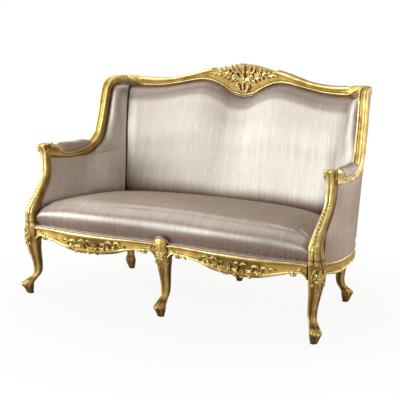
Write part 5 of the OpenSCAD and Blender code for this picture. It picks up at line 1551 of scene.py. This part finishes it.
@dataclass
class Covers:
    """The silk covers: inside back, sides with their wings, seat, arm pads and outer panels.

    Attributes:
        gap: Clearance behind the posts.
        over: Height of the back's roll under the top rail.
        rim: Height in which the back's top edge turns in.
        beside: Width of the back's roll at each side.
        front_share: Share of the seat's depth that its rolled front takes up.
        corner_at: Share of the outer side's length at which it starts to turn the corner.
        pad_half: Half width of an arm pad.
        pad_rise: Rise of an arm pad.
        welt: Half thickness of the piping.
    """
    gap: float = 1.8
    over: float = 66.0
    rim: float = 7.0
    beside: float = 52.0
    front_share: float = 0.20
    corner_at: float = 0.7
    pad_half: float = 27.0
    pad_rise: float = 44.0
    welt: float = 3.3

    def frame_line(self, f: float, edge: float) -> Array:
        """A point on the frame's line: along the arm's underside from 1 to 2, then up the wing to 3."""
        if f <= 2:
            rear = float(L.post(np.array(1.0))[0][1] + S.post * 1.06 + self.gap)
            start = (rear - L.arm_y[0]) / (L.arm_y[1] - L.arm_y[0])
            s = mix(start, 1, f - 1)
            v = curve(s, ARM)
            return np.array([L.arm_x + v[3] * S.block + edge * v[2] * S.hand, mix(*L.arm_y, s),
                             L.arm_z(v[0]) - mix(0.8, 2.5, (f - 1) ** 2)])
        s = 0.93 * (f - 2)
        way = L.wing_way(np.array(s))
        t = S.mould_t * float(curve(s, WING_THICK)) / 2 + 2.5
        return L.wing(np.array(s)) + [edge * S.mould_w / 2, way[1] * t, -way[0] * t]

    def seam_edge(self, h: float) -> Array:
        """The sides' rear edge beside the seam, at a share of its height."""
        return L.seam(np.array(h)) + [0.4, -0.4, 0]

    def rear_of_post(self, z: Array) -> Array:
        """Depth just inside the post's rear face at a height, where the covers start."""
        middle, half = L.post(np.clip((z - S.rail_h) / (S.post_top - S.rail_h), 0, 1))
        return np.maximum(S.post_y + 1.72 * S.post, middle[..., 1] + half) - 5.0

    def level(self, q: Array) -> Array:
        """The side's line at the seat."""
        v = curve(q, SIDE_IN)
        full = mix(S.pad_low, L.corner_top(), 0.19)
        return stack(v[..., 0] * S.post_x, v[..., 1] * S.depth, mix(S.seat_side + 4, full, q))

    def back(self) -> Shell:
        """The inside back: hollowed from side to side, rolled back at its edges and at the top.

        At a share h of the height the surface stands behind the seam by the hollow times one
        minus the square of the way out from the middle, and the cloth turns back where it meets
        the rail, the sides and the seat.
        """
        near_top = 1 - 0.1 * np.cos(np.linspace(0, np.pi / 2, 26))[1:]
        h = np.concatenate([np.linspace(0, 0.9, 70), near_top])[:, None]
        q = spread(161, 0.92)[None, :] + 0 * h
        e = L.seam(h[:, 0])
        deep = (S.hollow * curve(h[:, 0], HOLLOW))[:, None]
        x = q * e[:, :1]
        top = L.crest_low(x) - 0.6
        z = mix(S.pad_low, top, h)
        over = np.clip(1 - (top - z) / self.over, 0, 1)
        edge = np.clip(1 - (top - z) / self.rim, 0, 1)
        beside = np.clip(1 - (np.abs(e[:, :1]) - np.abs(x)) / self.beside, 0, 1)
        low = np.clip(1 - (z - 425) / 75, 0, 1.2)
        y = e[:, 1:2] + deep * (1 - q ** 2) + 13 * over ** 1.12 + 2.5 * (1 - np.sqrt(1 - 0.98 * edge ** 2)) \
            + 7 * beside ** 1.5 + 9 * low ** 2
        front = stack(x, y, z)
        rear_x = q * (S.crest_x - self.gap)
        rear = stack(rear_x, S.back_y(rear_x, z) - 7.6, z)
        # Painted shade: a low tone darkens the silk's colour along the roll under the top rail, along the
        # rolls at both sides and towards the seat.
        rolls = np.maximum(ease(over, 0.0, 0.6), 0.75 * ease(beside, 0.15, 0.95))
        tone = 0.6 - 0.55 * rolls - 0.3 * np.clip(low, 0, 1) ** 2
        return Shell.slab(front, rear, lengths(front), tone)

    def side(self) -> Shell:
        """One side with its wing: the lower side from post to seam, and the roll over its rear half.

        Lower rows blend from the line at the seat to the line along the arm; wing rows cross from
        the frame to the seam as an arc. Both share the points of the line between them.
        """
        n = 44
        q = np.linspace(0, 1, 2 * n + 1)
        last = self.seam_edge(0.5)
        half = q <= 0.5
        arm = np.array([self.frame_line(1.0001 + k * 1.9998, -1) for k in q[half]])
        a = self.frame_line(2, -1)
        t = (q[~half] * 2 - 1)[:, None]
        r = last - a
        normal = unit(np.array([-r[1], r[0], 0]))
        line = np.concatenate([arm, mix(a, last, t) - normal * S.roll * 0.5 * 4 * t * (1 - t)])
        rows = np.linspace(0, 1, 34)
        base = self.level(q)
        grid = []
        for row, h in zip(rows, curve(rows, LOWER_ROWS)):
            p = mix(base, line, row)
            p[:, 1] += (self.rear_of_post(p[0, 2]) - p[0, 1]) * (1 - q) ** 2
            p += (self.seam_edge(h) - p[-1]) * (q ** 2)[:, None]
            p[:, 0] -= S.roll * 0.15 * np.sin(np.pi * q) * 4 * row * (1 - row)
            grid.append(p)
        low = grid[0].copy()
        low[:, 2] = S.pad_low
        lower = np.array([low, *grid])
        f = np.linspace(2, 3, 46)[1:]
        q2 = np.linspace(0, 1, n + 1)
        wing = []
        for k, h, full, hollow in zip(f, curve(f, WING_ROWS), curve(f, ROLL_FULL), curve(f, ROLL_HOLLOW)):
            a, b = self.frame_line(k, -1), self.seam_edge(h)
            r = b - a
            normal = unit(np.array([-r[1], r[0]]))
            deep = S.roll * (0.8 * full * np.sin(np.pi * q2 ** 0.9) ** 0.8 - 0.5 * hollow * 4 * q2 * (1 - q2))
            wing.append(mix(a, b, q2[:, None]) + stack(normal[0] * deep, normal[1] * deep, 0))
        wing = np.array(wing)
        lower_index = np.arange(lower.shape[0] * lower.shape[1]).reshape(lower.shape[:2])
        wing_index = np.arange(wing.shape[0] * wing.shape[1]).reshape(wing.shape[:2]) + lower_index.size
        joined = np.concatenate([lower_index[-1:, n:], wing_index])
        quads = np.concatenate([grid_quads(lower_index), grid_quads(joined)])
        lower_weave = lengths(lower)
        wing_weave = lengths(np.concatenate([lower[-1:, n:], wing]))
        wing_weave += lower_weave[-1, n:] - wing_weave[0]
        weave = np.concatenate([lower_weave.reshape(-1, 2), wing_weave[1:].reshape(-1, 2)])
        front = np.concatenate([lower.reshape(-1, 3), wing.reshape(-1, 3)])
        rear = front + self.inward(lower, wing, n)
        return skin(front, rear, quads, weave)

    def inward(self, lower: Array, wing: Array, n: int) -> Array:
        """How far the rear of the side lies from its front, outwards and back.

        Args:
            lower: Points of the lower side.
            wing: Points of the wing.
            n: Number of the line's middle column, where the wing starts.

        Returns:
            The offsets of all the points of both, one row each.
        """
        q = np.linspace(0, 1, lower.shape[1])
        first = np.broadcast_to(stack(14 * (1 - 0.5 * q), 4 * q, 0 * q), lower.shape)
        q2 = np.linspace(0, 1, n + 1)
        second = np.broadcast_to(stack(14 * (1 - 0.5 * q2), 4 + 4 * q2, 0 * q2), wing.shape)
        return np.concatenate([first.reshape(-1, 3), second.reshape(-1, 3)])

    def wall_low(self, s: Array) -> Array:
        """The outer cover's lower edge on the side rail."""
        p = L.side(s) + L.side_out(s) * S.rail_t * 0.4
        return stack(p[..., 0], p[..., 1], S.rail_h)

    def outer_side(self) -> Shell:
        """The outside of an arm and wing, from rail to arm, which turns the rear corner on a curve."""
        flat = self.corner_at
        q = np.concatenate([np.linspace(0, flat, 40), np.linspace(flat, 1, 22)[1:]])
        f = np.concatenate([np.linspace(0, 1, 24), np.linspace(1, 2, 12)[1:], np.linspace(2, 3, 36)[1:]])
        high = S.shoulder_h - S.mould_t * 1.1 - 0.3
        start, corner, end = (self.wall_low(np.array(k)) for k in (0.012, 0.86, 1.0))
        sheets = []
        for inset in (0.0, 4.0):
            radius = S.turn + S.mould_w * 0.4 - inset
            shoulder = [S.crest_x + radius, S.crest_y - S.turn, high]
            rear = [S.crest_x, S.crest_y - S.turn + radius, high]
            rows = []
            for row, share, hug in zip(f, curve(f, WALL_ROWS), curve(f, WALL_HUG)):
                if row <= 1:
                    top = self.frame_line(1.0001, 0.8)
                    first = mix(start, top, row)
                    first[1] = self.rear_of_post(first[2])
                else:
                    first = self.frame_line(row, 0.8)
                first = first - [inset, 0, 0]
                knee = mix(corner - [inset, inset * 0.6, 0], shoulder, share)
                last = mix(end - [0, inset, 0], rear, share)
                k = (q / flat)[:, None]
                belly = (self.wall_low(mix(0.012, 0.86, k[:, 0])) - mix(start, corner, k)) * max(0, 1 - row)
                belly[:, 0] += (4 * k * (1 - k))[:, 0] * S.mould_w * 0.4 * hug
                a = np.pi / 2 * (q - flat) / (1 - flat)
                turned = stack(mix(knee[0], last[0], 1 - np.cos(a)),
                               mix(knee[1], last[1], np.sin(a)), knee[2])
                rows.append(np.where(q[:, None] <= flat, mix(first, knee, k) + belly, turned))
            sheets.append(np.array(rows))
        return Shell.slab(sheets[0], sheets[1], lengths(sheets[0]))

    def outer_back(self) -> Shell:
        """The outside of the back, bowed and leaning like the frame."""
        x = np.linspace(-1, 1, 81)[None, :] * (S.crest_x - 0.3)
        h = np.linspace(0, 1, 20)[:, None]
        z = mix(S.rail_h, L.crest_low(x) - 0.3, h)
        outer, inner = (stack(x + 0 * h, S.back_y(x, z) + 15.3 + k, z) for k in (4.0, 0.0))
        return Shell.slab(outer, inner, lengths(outer))

    def side_at(self, y: Array) -> Array:
        """Half width of the seat at a depth, along the sides' line."""
        q = np.linspace(0, 1, 80)
        line = self.level(q)
        return np.interp(y, line[:, 1], line[:, 0])

    def seat(self) -> tuple[Shell, Array]:
        """The seat: domed over the middle, with a rolled front that drops to the piping.

        The front is a quarter of a superellipse over the first share of the depth. The height blends
        from the middle's to the sides' with the fifth power of the way out. The front leans out
        over the piping, and small gathers draw it in.

        Returns:
            The cover, and whether each point, by its number, is held while it settles. The rows of
            that list are shorter than the cover's rings, so it holds bands over the front and not
            the cover's edges.
        """
        a = np.linspace(0, 1, 40) ** 1.5 * np.pi / 2
        rolled = self.front_share * (1 - np.cos(a) ** 0.85)
        s = np.concatenate([rolled, np.linspace(self.front_share, 1, 28)[1:]])[:, None]
        q = spread(181, 0.96)[None, :] + 0 * s
        corner = S.post_x - S.block
        back = S.depth * 0.773 - 3.5
        front = L.front_edge(q * corner) + 6.3
        y = mix(front, back, s)
        limit = np.where(y < S.post_y + 1.72 * S.post + 0.9, corner - 2.5, self.side_at(y) - 1)
        x = q * limit
        plan = mix(front, back + S.hollow * 0.97 * (1 - (x / (S.rear_x * 0.904)) ** 2), s)
        arc = (1 - np.clip(1 - s / self.front_share, 0, 1) ** (2 / 0.85)) ** 0.425
        middle = 0.02 + 0.90 * arc + 0.08 * ease(s, 0.06, 0.45) - 0.12 * ease(s, 0.55, 1)
        middle = middle * (S.seat_top + S.seat_crown - S.pad_low)
        beside = (0.02 + 0.94 * arc + 0.04 * ease(s, 0.06, 0.45)) * (S.seat_side - S.pad_low)
        lean = 15 * bump(arc, 0.66, 0.36) * (1 + 0.2 * np.cos(x / 265 * np.pi - np.pi))
        folds = np.sin(x / 5.2 + 2 * np.sin(x / 23)) + 0.6 * np.sin(x / 2.7 + np.sin(x / 31))
        end = np.clip((np.abs(q) - 0.955) / 0.045, 0, 1)
        y = plan - lean + 1.1 * (bump(arc, 0.08, 0.28) * folds) + 6 * (1 - ease(arc, 0, 0.32))
        z = S.pad_low + mix(middle, beside, np.abs(q) ** 5)
        z = z + 1.6 * np.sin(x / 97 + y / 71) * bump(s, 0.5, 0.2)
        z = z - 14 * end ** 2 * (1 - ease(s, 0.25, 0.5)) * arc
        top = stack(x, y, z)
        # Painted shade: a low tone darkens the silk's colour down the lower part of the rolled front, a
        # quarter less at the left end than at the right.
        tone = 0.6 - 0.55 * (1 - ease(arc, 0.35, 0.9)) * mix(0.75, 1, ease(x, -500, 300))
        held = np.concatenate([(s > 0.96) | (arc < 0.12) | (np.abs(q) > 0.975), s > -1], 1)
        return Shell.slab(top, stack(x, plan, S.pad_low), lengths(top), tone), held.ravel()

    def piping(self) -> Shell:
        """The piping along the front of the seat, which climbs over the middle knee."""
        reach = S.post_x - S.block - 1.5
        x = np.linspace(-reach, reach, 361)
        k = np.maximum(0, 1 - (x / (S.block * 1.25)) ** 2)
        line = stack(x, L.front_edge(x) + 3 - k * (S.ankle * 1.2 * 0.55 + 3),
                     S.rail_h + 3 + k * (S.knee_rise + 2.5))
        way = unit(np.gradient(line, axis=0))
        out = unit(np.cross(way, [0, 0, 1.0]))
        up = np.cross(out, way)
        a = np.linspace(0, 2 * np.pi, 16, endpoint=False)[None, :, None]
        rings = line[:, None] + (out[:, None] * np.cos(a) + up[:, None] * np.sin(a)) * self.welt
        weave = stack(a[..., 0] * self.welt, x[:, None]) / 1000
        return Shell.loft(rings, 0.6, weave)

    def arm_pad(self) -> tuple[Shell, Array]:
        """One arm pad: a dome that follows the arm's top and runs out up the wing.

        Returns:
            The pad, and whether each of its points is held while it settles.
        """
        k = np.linspace(0, 1, 80)
        s_arm = np.linspace(0.42, 1, 60)
        v = curve(s_arm, ARM)
        base = stack(L.arm_x + v[:, 3] * S.block, mix(*L.arm_y, s_arm), L.arm_z(v[:, 1]) + 0.3)
        s_wing = np.linspace(0, 3 / 22, 16)[1:]
        way = L.wing_way(s_wing)
        t = (S.mould_t * curve(s_wing, WING_THICK) / 2 + 0.3)[:, None]
        out = np.concatenate([0 * t, -way[:, 1:] * t, way[:, :1] * t], 1)
        base = np.concatenate([base, L.wing(s_wing) + out])
        along = (base[:, 1] - base[0, 1]) / (base[-1, 1] - base[0, 1])
        line = stack(*(np.interp(k, along, base[:, i]) for i in range(3)))
        swell = curve(k, table(
            (0, 0.3, 0.35), (0.03, 0.52, 0.58), (0.08, 0.74, 0.82), (0.16, 0.9, 0.98), (0.32, 1, 1.04),
            (0.6, 1, 0.92), (0.8, 0.94, 0.68), (0.93, 0.72, 0.38), (1, 0.35, 0.12)))
        a = np.linspace(0, np.pi, 41)
        x = -np.sign(np.cos(a)) * np.abs(np.cos(a)) ** 0.95
        z = np.sin(a) ** 0.95
        x = np.concatenate([[-0.93], x * (1 - 0.07 * bump(z, 0.0, 0.1)), [0.93]])
        z = np.concatenate([[0], z * 0.94 + 0.06, [0]])
        rings = line[:, None] + stack(x * swell[:, :1] * self.pad_half, 0, z * swell[:, 1:] * self.pad_rise)
        under = mix(rings[:, -1:], rings[:, :1], np.array([0.25, 0.5, 0.75])[None, :, None])
        rings = np.concatenate([rings, under], 1)
        around = np.cumsum(np.linalg.norm(np.diff(rings, axis=1, prepend=rings[:, :1]), axis=-1), 1)
        held = (rings[..., 2] - line[:, 2:] < 4) | (k < 0.03)[:, None] | (k > 0.97)[:, None]
        return Shell.loft(rings, 0.6, stack(around, line[:, 1:2]) / 1000), held.ravel()

    def build(self) -> None:
        shell, held = self.seat()
        seat = build("seat_cover", shell, Stuff.SILK, "seat_pad")
        settle(seat, held, 9.0)
        back = build("back_cover", self.back(), Stuff.SILK, "back_pad")
        build("seat_piping_silk", self.piping(), Stuff.PIPING, "seat_piping")
        build("outer_back_cover", self.outer_back(), Stuff.SILK, "outer_back", flat=50)
        sides = pair("side_cover_*", self.side(), Stuff.SILK, "side_pad_*", "wing_pad_*")
        shell, held = self.arm_pad()
        arm_pads = pair("arm_pad_*_silk", shell, Stuff.SILK, "arm_pad_*")
        for pad in arm_pads:
            settle(pad, held, 3.0)
        pair("outer_side_*_cover", self.outer_side(), Stuff.SILK, "outer_side_*", flat=50)


@dataclass
class Inside:
    """The frame's hidden timber, fixings and supports, which stay as they are in the drawing."""

    def build(self) -> None:
        """Gives each of those nodes its finish."""
        finishes = {
            Stuff.TIMBER: ("back_stile_left", "back_stile_right", "back_stile_middle", "back_tacking_rail",
                           "seat_stretcher", "corner_blocks", "frame_dowels"),
            Stuff.WEB: ("seat_webbing", "seat_hessian", "back_webbing"),
            Stuff.LINING: ("dust_cover",),
            Stuff.STEEL: ("corner_screws",),
            Stuff.GLIDE: ("foot_glides",)}
        for stuff, names in finishes.items():
            for name in names:
                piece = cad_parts[name]
                piece.data.materials.clear()
                piece.data.materials.append(stuff.material())
                log.info("%s: keeps its form, in %s", name, stuff.slot)


@dataclass
class Studio:
    """A pale floor, soft lamps and the camera, in metres and degrees.

    Attributes:
        glow_from: Distance from the middle from which the floor's glow grows.
        glow_to: Distance at which the floor is all glow.
        glow: Share of the glow under the object.
        surround: Strength of the light from all round.
        lens: The camera's focal length in millimetres.
        film: Width of its picture plane in millimetres.
        place: Where the camera stands.
        angles: How far it is turned to the right, tipped down and rolled.
    """
    glow_from: float = 0.6
    glow_to: float = 1.4
    glow: float = 0.92
    surround: float = 0.27
    lens: float = 92.6
    film: float = 36.0
    place: Triple = (2.1998, -3.9129, 1.2368)
    angles: Triple = (29.59, 10.02, 0.84)

    def floor(self) -> None:
        """A pale floor that takes the object's shadow and goes over to plain white away from it.

        To the camera it is part white glow, least under the object and all of it further out.
        """
        mesh = bpy.data.meshes.new("floor")
        mesh.from_pydata([(-40, -40, 0), (40, -40, 0), (40, 40, 0), (-40, 40, 0)], [], [(0, 1, 2, 3)])
        b = Board("floor_pale")
        b.shader.inputs["Base Color"].default_value = (0.46, 0.41, 0.37, 1)
        b.shader.inputs["Roughness"].default_value = 0.9
        glow = b.node("ShaderNodeEmission")
        far = b.node("ShaderNodeVectorMath", operation="LENGTH")
        b.link(b.node("ShaderNodeTexCoord").outputs["Object"], far.inputs[0])
        outwards = b.scaled(far.outputs["Value"], self.glow_from, self.glow_to, self.glow, 1.0)
        share = b.math("MULTIPLY", outwards, b.node("ShaderNodeLightPath").outputs["Is Camera Ray"])
        both = b.node("ShaderNodeMixShader")
        b.link(share, both.inputs["Fac"])
        b.link(b.shader.outputs["BSDF"], both.inputs[1])
        b.link(glow.outputs["Emission"], both.inputs[2])
        b.link(both.outputs["Shader"], b.material.node_tree.nodes["Material Output"].inputs["Surface"])
        mesh.materials.append(b.material)
        floor = bpy.data.objects.new("floor", mesh)
        bpy.context.scene.collection.objects.link(floor)
        floor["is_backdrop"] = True

    def world(self) -> None:
        """An even pale surround, which is plain white to the camera."""
        world = bpy.data.worlds.new("surround")
        world.use_nodes = True
        nodes, links = world.node_tree.nodes, world.node_tree.links
        plain = nodes["Background"]
        plain.inputs["Color"].default_value = (1.0, 0.96, 0.91, 1)
        plain.inputs["Strength"].default_value = self.surround
        white = nodes.new("ShaderNodeBackground")
        white.inputs["Color"].default_value = (1, 1, 1, 1)
        path, both = nodes.new("ShaderNodeLightPath"), nodes.new("ShaderNodeMixShader")
        links.new(path.outputs["Is Camera Ray"], both.inputs["Fac"])
        links.new(plain.outputs["Background"], both.inputs[1])
        links.new(white.outputs["Background"], both.inputs[2])
        links.new(both.outputs["Shader"], nodes["World Output"].inputs["Surface"])
        bpy.context.scene.world = world

    def lamp(self, name: str, place: Triple, aim: Triple, power: float,
             size: tuple[float, float], colour: Triple = (1, 1, 1)) -> None:
        """A soft rectangular lamp that faces its aim.

        Args:
            name: Name of the lamp.
            place: Where it stands.
            aim: The point it faces.
            power: Watts.
            size: Width and height.
            colour: Colour of its light.
        """
        light = bpy.data.lights.new(name, "AREA")
        light.shape = "RECTANGLE"
        light.size, light.size_y = size
        light.energy = power
        light.color = colour
        lamp = bpy.data.objects.new(name, light)
        way = Vector(place) - Vector(aim)
        lamp.matrix_world = Matrix.Translation(place) @ way.to_track_quat("Z", "Y").to_matrix().to_4x4()
        bpy.context.scene.collection.objects.link(lamp)

    def camera(self) -> None:
        """The camera at the photographed angle: 29.6 degrees round to the right and 10 above."""
        camera = bpy.data.cameras.new("camera")
        camera.lens = self.lens
        camera.sensor_width = self.film
        camera.clip_end = 100
        turn, pitch, roll = np.radians(self.angles)
        ahead = np.array([-np.sin(turn) * np.cos(pitch), np.cos(turn) * np.cos(pitch), -np.sin(pitch)])
        right = np.array([np.cos(turn), np.sin(turn), 0])
        up = np.cross(right, ahead)
        across = right * np.cos(roll) + up * np.sin(roll)
        upward = up * np.cos(roll) - right * np.sin(roll)
        stand = np.eye(4)
        stand[:3] = np.stack([across, upward, -ahead, self.place], 1)
        holder = bpy.data.objects.new("camera", camera)
        holder.matrix_world = Matrix(stand.tolist())
        bpy.context.scene.collection.objects.link(holder)
        bpy.context.scene.camera = holder

    def build(self) -> None:
        """Sets the whole studio."""
        self.floor()
        self.world()
        self.lamp("key_left", (-3.55, -3.1, 2.0), (0, 0.2, 0.65), 350, (2.8, 3.0), (0.96, 1.0, 0.98))
        self.lamp("overhead", (-1.3, 0.7, 2.9), (0, 0.1, 0.4), 56, (3.0, 2.6))
        self.lamp("fill_right", (4.0, -0.6, 1.5), (0, 0, 0.6), 70, (2.0, 2.0), (1.0, 0.94, 0.88))
        self.lamp("rear_right", (2.9, 3.6, 1.2), (0.7, 0.3, 0.5), 70, (2.4, 2.4), (1.0, 0.96, 0.90))
        bpy.context.scene.view_settings.view_transform = "Standard"
        self.camera()


def main() -> None:
    """Builds each sub-assembly in order, then the studio."""
    logging.basicConfig(level=logging.INFO, format="%(message)s")
    for assembly in (Legs(), SeatRails(), Arms(), TopRail(), Covers(), Inside(), Studio()):
        log.info("building %s", type(assembly).__name__)
        assembly.build()
    sizes = {"cad": [list(map(float, corner)) for corner in CAD_BOX],
             "visual": [list(map(float, corner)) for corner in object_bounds()]}


if __name__ == "__main__":
    main()
